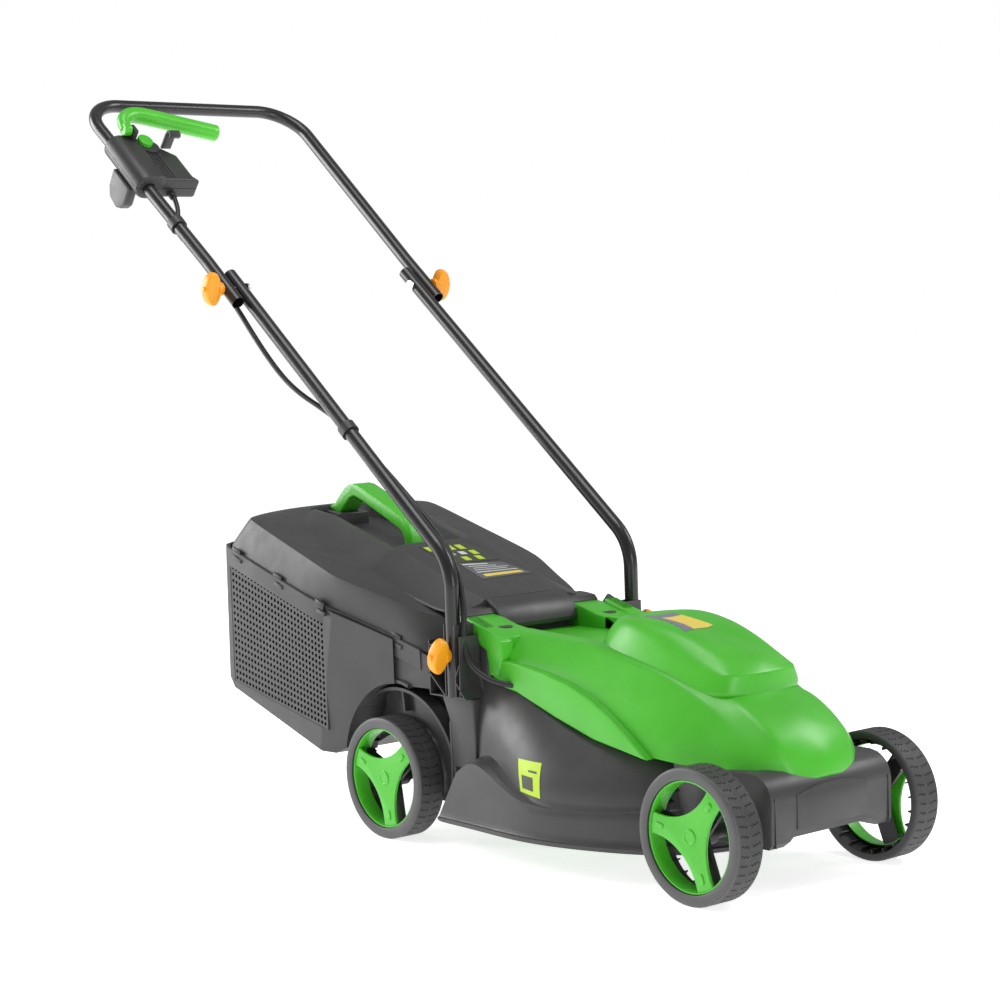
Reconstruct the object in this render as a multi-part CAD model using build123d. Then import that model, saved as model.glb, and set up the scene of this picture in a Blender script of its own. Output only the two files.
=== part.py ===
from build123d import *
import os
from math import cos, pi, radians, sin, tan

# Corded electric rotary lawn mower with a rigid grass box. Millimetres.
# While modelling, x = 0 is the front axle, +X is forward, +Y is the mower's left, z = 0 is the ground.
# The whole model is centred over its footprint when it is exported.
os.makedirs("parts", exist_ok=True)

# Wheels and axles
wheel_radius = 80.0
tyre_width = 42.0
tyre_depth = 14.0
wheelbase = 556.0
front_track = 348.0
rear_track = 364.0
axle_radius = 5.0
hub_radius = 13.0
hub_length = 28.0
nut_radius = 8.4
nut_height = 5.3
spoke_count = 3
spoke_width = 24.0
height_travel = 20.0
slide_clearance = 0.3
running_clearance = 0.05

# Cutting gear
blade_axis_x = -190.0
blade_length = 320.0
blade_width = 45.0
blade_thickness = 3.0
blade_height = 54.0
shaft_radius = 6.0
motor_radius = 50.0
motor_height = 70.0
motor_seat = 182.0
motor_wall = 3.0
armature_radius = 28.0
air_gap = 1.0
bearing_radius = 14.0
bearing_height = 9.0
fan_radius = 45.0
fan_height = 16.0
fan_blades = 8

# Deck and hood
deck_wall = 3.0
hood_wall = 2.5
skirt_bottom = 38.0
skirt_top = 100.0
chamber_radius = 168.0
deck_rear_x = -449.0
skirt_half_width = 178.0
neck_half_width = 106.0
beam_front_x = 66.0
beam_bottom = 62.0
deck_top_half_width = 128.0
deck_shoulder = 110.0
hood_half_width = 127.5
ear_outer = 114.0
ear_inner = 68.0
ear_rear_x = -453.0
ear_top = 293.0
trough_floor = 262.0
trough_front_x = -292.0
cap_radius = 11.0
cap_height = 5.0
cap_seat = 279.0
cap_x = -404.0
cap_y = 91.0
throat_half_width = 104.0
throat_top = 214.0

# Pillars and handles
tube_radius = 9.5
tube_wall = 1.2
lower_spread = 157.0
fold_gap = 2.0
upper_spread = lower_spread + 2 * tube_radius + fold_gap
grip_spread = 191.0
handle_foot_x = -428.0
shelf_height = 198.0
bend_height = 368.0
bend_radius = 70.0
handle_angle = 39.2
handle_length = 1026.6
fold_from_grip = 453.0
tube_overhang = 32.0
splay_start = 60.0
grip_corner_radius = 62.0
bolt_radius = 3.0
bolt_head_radius = 7.5
bolt_head_height = 3.0
lower_bolt_height = 252.0
pillar_outer = 168.0
pillar_inner = 128.0
pillar_rear_x = -471.0
pillar_front_x = -404.0
pillar_top = 300.0
arm_thickness = 8.0
arm_outer = 134.0
arm_rear_x = -602.0
arm_bottom = 52.0
arm_top = 196.0
fender_radius = 112.0

# Knobs
knob_boss_radius = 9.5
knob_boss_length = 14.0
knob_wing_length = 49.0
knob_wing_height = 24.0
knob_wing_depth = 18.0
knob_gap = 0.6

# Switch box, measured down the arm from the grip, across Y and out from the handle's plane
case_start = 110.0
case_end = 215.0
case_outer = -207.0
case_inner = -100.0
case_above = 20.0
case_below = 18.0
case_wall = 2.5
case_corner = 22.0
button_radius = 7.5
button_rise = 6.0
button_down = 124.0
button_y = -148.0
bail_radius = 12.0
bail_arm_radius = 9.0
bail_pivot_down = 108.0
bail_pivot_out = 30.0
bail_pivot_y = -170.0
bail_elbow_down = 66.0
bail_elbow_y = -146.0
bail_end_down = 100.0
bail_end_out = 24.0
bail_end_y = -20.0
lug_thickness = 6.0
pivot_radius = 3.0
gland_down = 215.0
gland_y = -142.0
upper_clip_down = 302.0
lower_clip_down = 762.0
clip_length = 14.0
clip_wall = 2.5

# Grass box
box_wall = 2.5
box_half_width = 182.0
box_front_half = 118.0
box_rear_x = -901.0
box_mouth_x = -462.0
box_shoulder_x = -690.0
well_radius = 120.0
rim_slope = -0.3139
rim_rear_height = 370.0
vent_columns = 28
vent_rows = 18
vent_hole_radius = 2.5
vent_pitch = 7.65
vent_first_x = -884.0
vent_first_drop = 25.0
vent_row_pitch = 9.2
vent_thickness = 2.0
vent_margin = 6.0
handle_rear_x = -880.0
handle_front_x = -672.0
handle_width = 34.0
handle_rise = 42.0
handle_thickness = 12.0

# Rear flap
flap_hinge_x = -444.0
flap_hinge_z = 287.0
flap_roll_radius = 16.0
flap_thickness = 4.0
flap_rear_x = -645.0
flap_half_width = 122.0
flap_top_half = 76.0
flap_lift = 16.0
pin_radius = 2.5
side_gap = 0.8

# Mains lead
lead_radius = 3.7
lead_play = 2.3

# Worked out from the values above
axle_height = wheel_radius
rear_axle_x = -wheelbase
slope = radians(handle_angle)
grip_x = handle_foot_x - handle_length * cos(slope)
grip_z = bend_height + handle_length * sin(slope)
centre_shift = -(wheel_radius + grip_x - tube_radius) / 2
handle_frame = Plane(origin=(grip_x, 0, grip_z), x_dir=(cos(slope), 0, -sin(slope)), z_dir=(sin(slope), 0, cos(slope)))


def box_between(x0, x1, y0, y1, z0, z1):
    size = Box(abs(x1 - x0), abs(y1 - y0), abs(z1 - z0))
    return Pos((x0 + x1) / 2, (y0 + y1) / 2, (z0 + z1) / 2) * size


def outline(points, inset=0.0):
    face = make_face(Polyline(*points, close=True))
    if inset:
        face = offset(face, amount=-inset, kind=Kind.INTERSECTION)
    return face


def side_prism(points, half_width, inset=0.0):
    """Outline in x and z, as thick as the mower is wide."""
    return extrude(Plane.XZ * outline(points, inset), amount=half_width - inset, both=True)


def cross_prism(points, x0, x1, inset=0.0):
    """Outline in y and z, run along X."""
    return extrude(Plane.YZ.offset(x0) * outline(points, inset), amount=x1 - x0)


def plan_prism(points, z0, z1, inset=0.0):
    """Outline in x and y, run upwards."""
    return extrude(Plane.XY.offset(z0) * outline(points, inset), amount=z1 - z0)


def cylinder_y(radius, y0, y1, x, z):
    return Pos(x, (y0 + y1) / 2, z) * Rot(90, 0, 0) * Cylinder(radius, abs(y1 - y0))


def cylinder_z(radius, z0, z1, x, y=0.0):
    return Pos(x, y, (z0 + z1) / 2) * Cylinder(radius, abs(z1 - z0))


def both_sides(shape):
    return [shape, shape.mirror(Plane.XZ)]


def on_handle(down, y, out=0.0):
    """A point given down the arm from the grip, across, and out of the handle's plane."""
    return handle_frame.from_local_coords(Vector(down, y, out))


def both_halves(half_points):
    """Closes an outline in y and z, or in y alone, that is given on its +Y side only."""
    return half_points + [(-y, z) for y, z in reversed(half_points)]


# The line where the hood sits on the deck, from the ears to the nose
seat_line = [(ear_rear_x, 228), (-373, 216), (-199, 166), (-114, 151), (20, 148), (47, 147), (67, 118)]
hood_roof = [(74, 116), (67, 152), (46, 187), (15, 216), (-35, 240), (-242, 266), (-375, 277), (-404, 280), (-428, 288),
             (ear_rear_x, ear_top)]
bulge_side = [(-290, 225), (-276, 286), (-192, 308), (-58, 296), (-28, 262), (-28, 225)]
bulge_cross = both_halves([(86, 225), (84, 262), (70, 300), (60, 309)])


# ---- Deck ----

def deck_form(inset):
    z_low = skirt_bottom - (5 if inset else 0)
    half_plan = [(deck_rear_x, skirt_half_width), (-290, skirt_half_width + 4), (blade_axis_x, chamber_radius)]
    plan_rear = plan_prism(half_plan + [(x, -y) for x, y in reversed(half_plan)], z_low, 400, inset)
    plan_rear = plan_rear + box_between(blade_axis_x - 30, blade_axis_x, -120, 120, z_low, 400)
    plan_front = cylinder_z(chamber_radius - inset, z_low, 400, blade_axis_x)
    plan = plan_rear + plan_front
    side = side_prism([(deck_rear_x, skirt_top - 20)] + seat_line[:-2] + [(20, skirt_top - 20)], 200, inset)
    cross = cross_prism(both_halves([(skirt_half_width, skirt_top - 20), (skirt_half_width, deck_shoulder),
                                   (deck_top_half_width, 228), (deck_top_half_width - 20, 240)]),
                        deck_rear_x - 5, 30, inset)
    skirt = plan & box_between(-500, 100, -200, 200, z_low, skirt_top - inset)
    return skirt + (plan & side & cross)


def deck_front(inset):
    low = beam_bottom - (10 if inset else 0)
    neck = box_between(-100, 20, -neck_half_width + inset, neck_half_width - inset, low, 147.5 - inset)
    beam = side_prism([(0, beam_bottom), (beam_front_x, beam_bottom), (beam_front_x, 117.5), (46.4, 146.4), (0, 147.5)],
                      neck_half_width, inset)
    if inset:
        beam = beam + Pos(0, 0, -10) * beam
    return neck + beam


def pillar(side):
    """Moulded tower that the foot of one lower tube stands in."""
    profile = [(deck_rear_x + 6, skirt_top), (deck_rear_x + 6, 160), (pillar_rear_x, 190), (pillar_rear_x, pillar_top - 14),
               (-440, pillar_top), (pillar_front_x - 20, pillar_top), (pillar_front_x, 250), (pillar_front_x, skirt_top)]
    depth = pillar_outer - pillar_inner
    body = extrude(Plane.XZ.offset(-pillar_inner) * outline(profile), amount=-depth)
    pocket_back = lower_spread - tube_radius - slide_clearance
    pocket = box_between(handle_foot_x - tube_radius - 6, pillar_front_x + 10, pocket_back, 200,
                         shelf_height, pillar_top + 10)
    bolt_hole = cylinder_y(bolt_radius, 0, 200, handle_foot_x, lower_bolt_height)
    tower = body - pocket - bolt_hole
    return tower if side > 0 else tower.mirror(Plane.XZ)


def rear_arm():
    """Side plate with the slot that the rear axle slides in, and the curved guard over the wheel."""
    plate = box_between(arm_rear_x, deck_rear_x + 12, arm_outer - arm_thickness, arm_outer, arm_bottom, arm_top)
    slot_half = axle_radius + slide_clearance
    slot = box_between(rear_axle_x - slot_half, rear_axle_x + slot_half, 0, 200, 0,
                       axle_height + height_travel + slot_half)
    ring = cylinder_y(fender_radius + deck_wall, arm_outer - arm_thickness, arm_outer + 14, rear_axle_x, axle_height)
    hole = cylinder_y(fender_radius, 0, 200, rear_axle_x, axle_height)
    guard = (ring - hole) & box_between(arm_rear_x, deck_rear_x + 12, 0, 200, 120, 400)
    return (plate & (cylinder_y(fender_radius + deck_wall, 0, 200, rear_axle_x, axle_height)
                     + box_between(rear_axle_x, deck_rear_x + 12, 0, 200, arm_bottom, 150))) - slot + guard


def make_deck():
    shell = deck_form(0) - deck_form(deck_wall)
    shell = shell + (deck_front(0) - deck_front(deck_wall) - deck_form(0))
    throat = box_between(deck_rear_x - 10, deck_rear_x + 30, -throat_half_width, throat_half_width, skirt_bottom - 5,
                         throat_top)
    shell = shell - throat
    motor_boss = cylinder_z(motor_radius + 6, 158, motor_seat, blade_axis_x)
    shaft_hole = cylinder_z(shaft_radius + 3, 100, 300, blade_axis_x)
    shell = shell + motor_boss - shaft_hole
    slot_half = axle_radius + slide_clearance
    front_slot = box_between(-slot_half, slot_half, -200, 200, 0, axle_height + height_travel + slot_half)
    shell = shell - front_slot
    for side in (1, -1):
        shell = shell + pillar(side)
    for arm in both_sides(rear_arm()):
        shell = shell + arm
    return shell


# ---- Hood ----

def hood_form(inset):
    side = side_prism(seat_line + hood_roof, 200, inset)
    cross = cross_prism(both_halves([(hood_half_width, 100), (hood_half_width - 4, 170), (86, 262), (86, 330)]),
                        ear_rear_x, 90, inset)
    plan = plan_prism([(ear_rear_x, -hood_half_width), (-150, -hood_half_width), (0, -104), (48, -60), (70, -18),
                       (70, 18), (48, 60), (0, 104), (-150, hood_half_width), (ear_rear_x, hood_half_width)],
                      90, 400, inset)
    bulge = side_prism(bulge_side, 200, inset) & cross_prism(bulge_cross, -300, 0, inset)
    return (side & cross & plan) + bulge


def make_hood():
    trough = box_between(ear_rear_x - 5, trough_front_x, -ear_inner, ear_inner, trough_floor, 400)
    outer = hood_form(0) - trough
    ear_side = [(ear_rear_x, 230), (ear_rear_x, ear_top), (-428, 288), (-404, 280), (-375, 277), (-375, 218)]
    ear = extrude(Plane.XZ.offset(-ear_inner) * outline(ear_side), amount=-(ear_outer - ear_inner))
    for one in both_sides(ear):
        outer = outer + one
    inner = hood_form(hood_wall) - box_between(ear_rear_x - 5, trough_front_x + hood_wall, -ear_inner - hood_wall,
                                               ear_inner + hood_wall, trough_floor - hood_wall, 400)
    inner = inner + Pos(0, 0, -4) * inner
    shell = outer - inner - cylinder_z(20, 0, 200, blade_axis_x)
    pivot = cylinder_y(pin_radius, -ear_inner - 12, ear_inner + 12, flap_hinge_x, flap_hinge_z)
    for cap in make_caps():
        shell = shell - cap
    return shell - pivot - lead_entry()


def make_caps():
    return [cylinder_z(cap_radius, cap_seat, cap_seat + cap_height, cap_x, y) for y in (cap_y, -cap_y)]


# ---- Motor and blade ----

def tube_z(outer, inner, z0, z1):
    return cylinder_z(outer, z0, z1, blade_axis_x) - cylinder_z(inner, z0 - 1, z1 + 1, blade_axis_x)


def make_motor_can():
    top = motor_seat + motor_height
    can = cylinder_z(motor_radius, motor_seat, top, blade_axis_x)
    can = can - cylinder_z(motor_radius - motor_wall, motor_seat + motor_wall, top - motor_wall, blade_axis_x)
    for low, high in bearing_spans():
        can = can + tube_z(bearing_radius + motor_wall, bearing_radius, low, high)
    return can - cylinder_z(shaft_radius + 1, motor_seat - 1, top + 1, blade_axis_x)


def bearing_spans():
    low = motor_seat + motor_wall
    high = motor_seat + motor_height - motor_wall
    return [(low, low + bearing_height), (high - bearing_height, high)]


def make_stator():
    return tube_z(motor_radius - motor_wall, armature_radius + air_gap, motor_seat + 16, motor_seat + 54)


def make_bearings():
    return [tube_z(bearing_radius, shaft_radius + running_clearance, low, high) for low, high in bearing_spans()]


def make_armature():
    return tube_z(armature_radius, shaft_radius, motor_seat + 18, motor_seat + 52)


def make_shaft():
    return cylinder_z(shaft_radius, blade_height - 12, motor_seat + motor_height - 1, blade_axis_x)


def make_fan():
    """Blade holder with moulded fan blades that cool the motor."""
    low = blade_height + blade_thickness
    fan = cylinder_z(fan_radius, low, low + 4, blade_axis_x) + cylinder_z(16, low, low + fan_height, blade_axis_x)
    for k in range(fan_blades):
        fin = Pos(fan_radius - 15, 0, low + fan_height / 2) * Box(30, 2.5, fan_height)
        fan = fan + Pos(blade_axis_x, 0, 0) * Rot(0, 0, k * 360 / fan_blades) * fin
    return fan - cylinder_z(shaft_radius, low - 1, low + fan_height + 1, blade_axis_x)


def make_blade():
    low = blade_height
    high = blade_height + blade_thickness
    bar = plan_prism([(-blade_width / 2, -blade_length / 2 + 12), (-blade_width / 2 + 12, -blade_length / 2),
                      (blade_width / 2, -blade_length / 2), (blade_width / 2, blade_length / 2 - 12),
                      (blade_width / 2 - 12, blade_length / 2), (-blade_width / 2, blade_length / 2)], low, high)
    return Pos(blade_axis_x, 0, 0) * bar - cylinder_z(shaft_radius, 0, 100, blade_axis_x)


def make_blade_washer():
    return tube_z(16, shaft_radius, blade_height - 2.5, blade_height)


def make_blade_nut():
    low = blade_height - 11
    nut = extrude(Plane.XY.offset(low) * RegularPolygon(11, 6), amount=8.5)
    return Pos(blade_axis_x, 0, 0) * nut - cylinder_z(shaft_radius, 0, 100, blade_axis_x)


# ---- Wheels and axles, built on the left with their outer face towards +Y ----

def ring_y(outer, inner, y0, y1):
    return cylinder_y(outer, y0, y1, 0, 0) - cylinder_y(inner, y0 - 1, y1 + 1, 0, 0)


def spokes(y0, y1, reach, width):
    """Three radial bars, one of them pointing down."""
    bars = []
    for k in range(spoke_count):
        bar = Pos(reach / 2, (y0 + y1) / 2, 0) * Box(reach, y1 - y0, width)
        bars.append(Rot(0, 90 + k * 360 / spoke_count, 0) * bar)
    return bars


def make_wheel():
    rim_inner = wheel_radius - tyre_depth
    wheel = ring_y(wheel_radius, rim_inner, 0, tyre_width)
    for bar in spokes(18, 25, rim_inner + 2, spoke_width - 2):
        wheel = wheel + bar
    wheel = wheel + cylinder_y(hub_radius, 2, 2 + hub_length, 0, 0)
    return wheel - cylinder_y(axle_radius + running_clearance, -1, 50, 0, 0)


def make_wheel_cover():
    outer = wheel_radius - tyre_depth - slide_clearance
    hub_end = 2 + hub_length
    cover = ring_y(outer, outer - 6, 26, tyre_width - 2)
    for bar in spokes(33, 38, outer - 3, spoke_width + 2):
        cover = cover + bar
    cover = cover + cylinder_y(hub_radius + 6, hub_end - 3, 39.5, 0, 0)
    return cover - cylinder_y(hub_radius, 0, hub_end + nut_height + 0.8, 0, 0)


def place_wheel(shape, track, x):
    return Pos(x, track / 2 - tyre_width, axle_height) * shape


def make_axle(track, x):
    end = track / 2 - tyre_width + 2 + hub_length + nut_height + slide_clearance
    return cylinder_y(axle_radius, -end, end, x, axle_height)


def make_axle_nuts(track, x):
    start = track / 2 - tyre_width + 2 + hub_length + slide_clearance
    nut = extrude(Plane.XZ.offset(-start) * RegularPolygon(nut_radius, 6), amount=-nut_height)
    nut = Pos(x, 0, axle_height) * nut - cylinder_y(axle_radius, 0, 300, x, axle_height)
    return both_sides(nut)


def make_spacers(track, x, plate_face):
    end = track / 2 - tyre_width + 2 - slide_clearance
    ring = cylinder_y(axle_radius + 3.5, plate_face + slide_clearance, end, x, axle_height)
    return both_sides(ring - cylinder_y(axle_radius, 0, 300, x, axle_height))


# ---- Handles ----

def tube_along(points, radii, radius, wall=0.0):
    path = FilletPolyline(*points, radius=radii)
    section = Circle(radius) - Circle(radius - wall) if wall else Circle(radius)
    return sweep(Plane(origin=path @ 0, z_dir=path % 0) * section, path=path)


def lower_tube(wall):
    top = fold_from_grip - tube_overhang
    points = [Vector(handle_foot_x, lower_spread, shelf_height), Vector(handle_foot_x, lower_spread, bend_height),
              on_handle(top, lower_spread)]
    return tube_along(points, [bend_radius], tube_radius, wall)


def fold_x():
    return on_handle(fold_from_grip, 0).X


def fold_z():
    return on_handle(fold_from_grip, 0).Z


def make_lower_handle():
    tube = lower_tube(tube_wall)
    tube = tube - cylinder_y(bolt_radius, 0, 300, fold_x(), fold_z())
    return tube - cylinder_y(bolt_radius, 0, 300, handle_foot_x, lower_bolt_height)


def grip_tube(radius, wall):
    low = fold_from_grip + tube_overhang
    bend = fold_from_grip - splay_start
    half = [on_handle(low, upper_spread), on_handle(bend, upper_spread), on_handle(0, grip_spread)]
    points = half + [Vector(p.X, -p.Y, p.Z) for p in reversed(half)]
    radii = [bend_radius * 4, grip_corner_radius, grip_corner_radius, bend_radius * 4]
    return tube_along(points, radii, radius, wall)


def make_upper_handle():
    hole = cylinder_y(bolt_radius + running_clearance, -300, 300, fold_x(), fold_z())
    return grip_tube(tube_radius, tube_wall) - hole


def bolt(x, z, head_face, end):
    shank = cylinder_y(bolt_radius, head_face, end, x, z)
    return shank + cylinder_y(bolt_head_radius, head_face - bolt_head_height, head_face, x, z)


def make_upper_bolts():
    face = lower_spread - tube_radius
    return both_sides(bolt(fold_x(), fold_z(), face, upper_spread + tube_radius + knob_gap + knob_boss_length - 3))


def make_lower_bolts():
    face = pillar_inner
    end = lower_spread + tube_radius + knob_gap + knob_boss_length / 2
    return both_sides(bolt(handle_foot_x, lower_bolt_height, face, end))


def make_knob(x, z, start, boss_length):
    """Wing knob: a round boss over the bolt and one long rounded wing."""
    boss = cylinder_y(knob_boss_radius, start, start + boss_length, x, z)
    wing_y = start + boss_length + knob_wing_height / 2 - 4
    wing = extrude(Plane.YZ * Ellipse(knob_wing_height / 2, knob_wing_length / 2), amount=knob_wing_depth / 2, both=True)
    knob = boss + Pos(x, wing_y, z) * wing
    return knob - cylinder_y(bolt_radius + running_clearance, 0, start + boss_length - 2, x, z)


def make_upper_knob():
    return make_knob(fold_x(), fold_z(), upper_spread + tube_radius + knob_gap, knob_boss_length)


def make_lower_knob():
    return make_knob(handle_foot_x, lower_bolt_height, lower_spread + tube_radius + knob_gap, knob_boss_length / 2 + 2)


def arm_y(down):
    """Distance of the upper arm's centre from the middle, at a distance down from the grip."""
    share = min(1.0, (fold_from_grip - splay_start - down) / (fold_from_grip - splay_start))
    return upper_spread + max(0.0, share) * (grip_spread - upper_spread)


def in_handle(shape):
    return handle_frame.location * shape


def make_clip(down, tube_y, lead_point):
    """Two joined snap rings: one round the tube, one round the lead."""
    half = clip_length / 2
    rings = []
    bores = []
    for y, out, radius in ((-tube_y, 0.0, tube_radius + slide_clearance), lead_point):
        rings.append(Pos(down, y, out) * Rot(0, 90, 0) * Cylinder(radius + clip_wall, clip_length))
        bores.append(Pos(down, y, out) * Rot(0, 90, 0) * Cylinder(radius, clip_length + 2))
    bridge_y = (-tube_y + lead_point[0]) / 2
    bridge = box_between(down - half, down + half, bridge_y - 4, bridge_y + 4, lead_point[1], 2)
    return in_handle(rings[0] + rings[1] + bridge - bores[0] - bores[1])


# ---- Switch box on the right arm ----

def case_form(inset):
    plan = [(case_start, case_outer), (case_end, case_outer), (case_end, case_inner), (case_start + 34, case_inner),
            (case_start + 34 - case_corner, case_inner - case_corner), (case_start, case_inner - 30)]
    return plan_prism(plan, -case_below, case_above, inset) & box_between(0, 400, -400, 0, -case_below + inset,
                                                                         case_above - inset)


def make_case(upper):
    half = box_between(0, 400, -400, 0, 0, 100) if upper else box_between(0, 400, -400, 0, -100, 0)
    shell = in_handle((case_form(0) - case_form(case_wall)) & half)
    shell = shell - grip_tube(tube_radius, 0.0)
    if upper:
        hole = Pos(button_down, button_y, case_above) * Cylinder(button_radius + slide_clearance, 20)
        lug = box_between(bail_pivot_down - 4, bail_pivot_down + 12, bail_pivot_y, bail_pivot_y + lug_thickness,
                          case_above - 1, bail_pivot_out + 7)
        shell = shell - in_handle(hole) + in_handle(lug)
        shell = shell - in_handle(bail_pin_form())
    return shell - in_handle(gland_form(0))


def gland_form(extra):
    return Pos(gland_down, gland_y, -8) * Rot(0, 90, 0) * Cylinder(6 + extra, 16)


def make_gland():
    bore = Pos(gland_down, gland_y, -8) * Rot(0, 90, 0) * Cylinder(lead_radius + slide_clearance, 20)
    return in_handle(gland_form(0) - bore)


def bail_pin_form():
    return Pos(bail_pivot_down, bail_pivot_y - 3, bail_pivot_out) * Rot(90, 0, 0) * Cylinder(pivot_radius, 18)


def make_bail():
    """Bent lever: an eye on the pivot pin, an elbow and a straight grip towards the middle."""
    eye_y = bail_pivot_y - 6.5
    start = Vector(bail_pivot_down - 2, eye_y, bail_pivot_out)
    shoulder = Vector(bail_pivot_down - 24, eye_y + 1, bail_pivot_out + 2)
    elbow = Vector(bail_elbow_down, bail_elbow_y, bail_pivot_out + 3)
    end = Vector(bail_end_down, bail_end_y, bail_end_out)
    arm = tube_along([start, shoulder, elbow, end], [14, 22], bail_arm_radius)
    grip = straight_rod(elbow, end)
    eye = Pos(bail_pivot_down, eye_y, bail_pivot_out) * Rot(90, 0, 0) * Cylinder(8, 11)
    keep = box_between(0, 400, -400, bail_pivot_y - slide_clearance, -100, 100)
    bore = Pos(bail_pivot_down, eye_y, bail_pivot_out) * Rot(90, 0, 0) * Cylinder(pivot_radius + running_clearance, 30)
    near = box_between(bail_pivot_down - 12, 400, -400, 400, -100, 100)
    lever = arm - (near - keep) + grip + (eye & keep) - bore
    return in_handle(lever)


def straight_rod(elbow, end):
    run = end - elbow
    start = elbow + run * 0.22
    length = (end - start).length
    plane = Plane(origin=start, z_dir=run)
    return plane * Pos(0, 0, length / 2) * Cylinder(bail_radius, length)


def make_button():
    top = case_above + button_rise
    cap = Pos(button_down, button_y, (top + 11) / 2) * Cylinder(button_radius, top - 11)
    flange = Pos(button_down, button_y, 12) * Cylinder(button_radius + 2, 2)
    return in_handle(cap + flange)


def make_switch():
    return in_handle(box_between(case_start + 8, case_start + 50, -164, -128, -case_below + case_wall, 3.0))


def make_inlet():
    """Flat-sided shroud round the plug pins, under the box."""
    shroud = [(150, -case_below), (196, -case_below), (216, -46), (204, -56), (180, -50)]
    body = extrude(Plane.XZ.offset(205) * outline(shroud), amount=-24)
    cavity = extrude(Plane.XZ.offset(202.5) * outline(shroud, 3), amount=-19)
    mouth = Pos(8, 0, -9) * cavity
    return in_handle(body - cavity - mouth)


def make_inlet_pins():
    pins = []
    for y in (-196, -187):
        pins.append(Pos(186, y, -27) * Rot(0, 30, 0) * Cylinder(2, 18))
    return [in_handle(pin) for pin in pins]


def make_hook():
    """Strap that holds a loop of the extension lead, beside the switch box."""
    strap = [(128, 12), (128, 44), (134, 50), (142, 46), (140, 42), (135, 44), (132, 40), (132, 12)]
    body = extrude(Plane.XZ.offset(112) * outline(strap), amount=-8)
    return in_handle(body & box_between(0, 400, -400, 0, case_above, 100))


# ---- Grass box ----

def rim_z(x):
    return rim_rear_height + rim_slope * (x - box_rear_x)


box_side = [(box_rear_x, rim_z(box_rear_x)), (-897, 171), (-687, 101), (-610, 128), (-500, 150),
            (box_mouth_x, 155), (box_mouth_x, 246), (-500, 278), (-570, 312), (-862, 409), (-888, 400)]


def box_form(inset):
    side = side_prism(box_side, 300, inset)
    wide = [(box_rear_x - 5, box_half_width), (box_shoulder_x, box_half_width), (-620, 164), (-560, 150), (-492, 146),
            (-492, box_front_half), (box_mouth_x + 5, box_front_half)]
    plan = plan_prism(wide + [(x, -y) for x, y in reversed(wide)], 50, 450, inset)
    cross = cross_prism(both_halves([(box_half_width, 50), (box_half_width, 368), (150, 410), (140, 450)]),
                        box_rear_x - 10, box_mouth_x + 10, inset)
    form = side & plan & cross
    for y0, y1 in ((box_front_half - inset, 300), (-300, -box_front_half + inset)):
        form = form - cylinder_y(well_radius + inset, y0, y1, rear_axle_x, axle_height)
        form = form - box_between(rear_axle_x, 0, y0, y1, 0, 236 + inset)
    return form


def box_shell():
    mouth = box_between(box_mouth_x - 20, box_mouth_x + 20, -throat_half_width, throat_half_width, 158, 232)
    return box_form(0) - box_form(box_wall) - mouth


def above_rim():
    far = 1000
    points = [(box_rear_x - 20, rim_z(box_rear_x - 20)), (0, rim_z(0)), (0, far), (box_rear_x - 20, far)]
    return side_prism(points, 300)


def vent_window(y0, y1, grow):
    corners = [vent_point(0, 0), vent_point(vent_columns - 1, 0), vent_point(vent_columns - 1, vent_rows - 1),
               vent_point(0, vent_rows - 1)]
    face = offset(outline(corners), amount=vent_margin + grow, kind=Kind.INTERSECTION)
    return extrude(Plane.XZ.offset(-y0) * face, amount=-(y1 - y0))


def vent_point(column, row):
    """Centre of a hole, in x and z: the rows follow the rim."""
    x = vent_first_x + column * vent_pitch
    z = rim_z(x) - vent_first_drop - row * vent_row_pitch + column * row * 0.045
    return (x, z)


def make_vent():
    start = box_half_width - box_wall
    panel = vent_window(start, start + vent_thickness, 0.0)
    centres = [vent_point(column, row) for column in range(vent_columns) for row in range(vent_rows)]
    holes = Sketch() + [Pos(x, z) * Circle(vent_hole_radius) for x, z in centres]
    return panel - extrude(Plane.XZ.offset(-start + 2) * holes, amount=-(vent_thickness + 4))


def make_box_lower():
    windows = both_sides(vent_window(box_half_width - 10, box_half_width + 5, 0.0))
    return box_shell() - above_rim() - windows[0] - windows[1]


def make_box_upper():
    return box_shell() & above_rim()


def lid_z(x):
    return 409 + (x + 862) * (312 - 409) / (862 - 570)


def make_box_handle():
    """Carrying handle along the lid: two feet and a long arch."""
    top_rear = (handle_rear_x + 36, lid_z(handle_rear_x + 36) + handle_rise)
    top_front = (handle_front_x - 60, lid_z(handle_front_x - 60) + handle_rise - 6)
    outer = [(handle_rear_x, lid_z(handle_rear_x)), top_rear, top_front, (handle_front_x, lid_z(handle_front_x)),
             (handle_front_x - 22, lid_z(handle_front_x - 22)), (top_front[0] - 12, top_front[1] - handle_thickness),
             (top_rear[0] + 6, top_rear[1] - handle_thickness), (handle_rear_x + 22, lid_z(handle_rear_x + 22))]
    return side_prism(outer, handle_width / 2)


# ---- Rear flap ----

def flap_plate(inset):
    """Bevelled cover, hollow on the underside."""
    front_z = flap_hinge_z + flap_lift
    rear_z = lid_z(flap_rear_x)
    top = [(-462, front_z + 4), (-500, front_z + 18), (flap_rear_x, rear_z + 28), (flap_rear_x, rear_z + 4)]
    under = [(-560, lid_z(-560) + 4), (-500, front_z + 2), (-462, front_z)]
    plate = side_prism(top + under, flap_half_width, inset)
    slopes = both_halves([(flap_half_width, 250), (flap_half_width, 330), (flap_top_half, 400), (10, 400)])
    return plate & cross_prism(slopes, flap_rear_x - 5, -400, inset)


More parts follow.
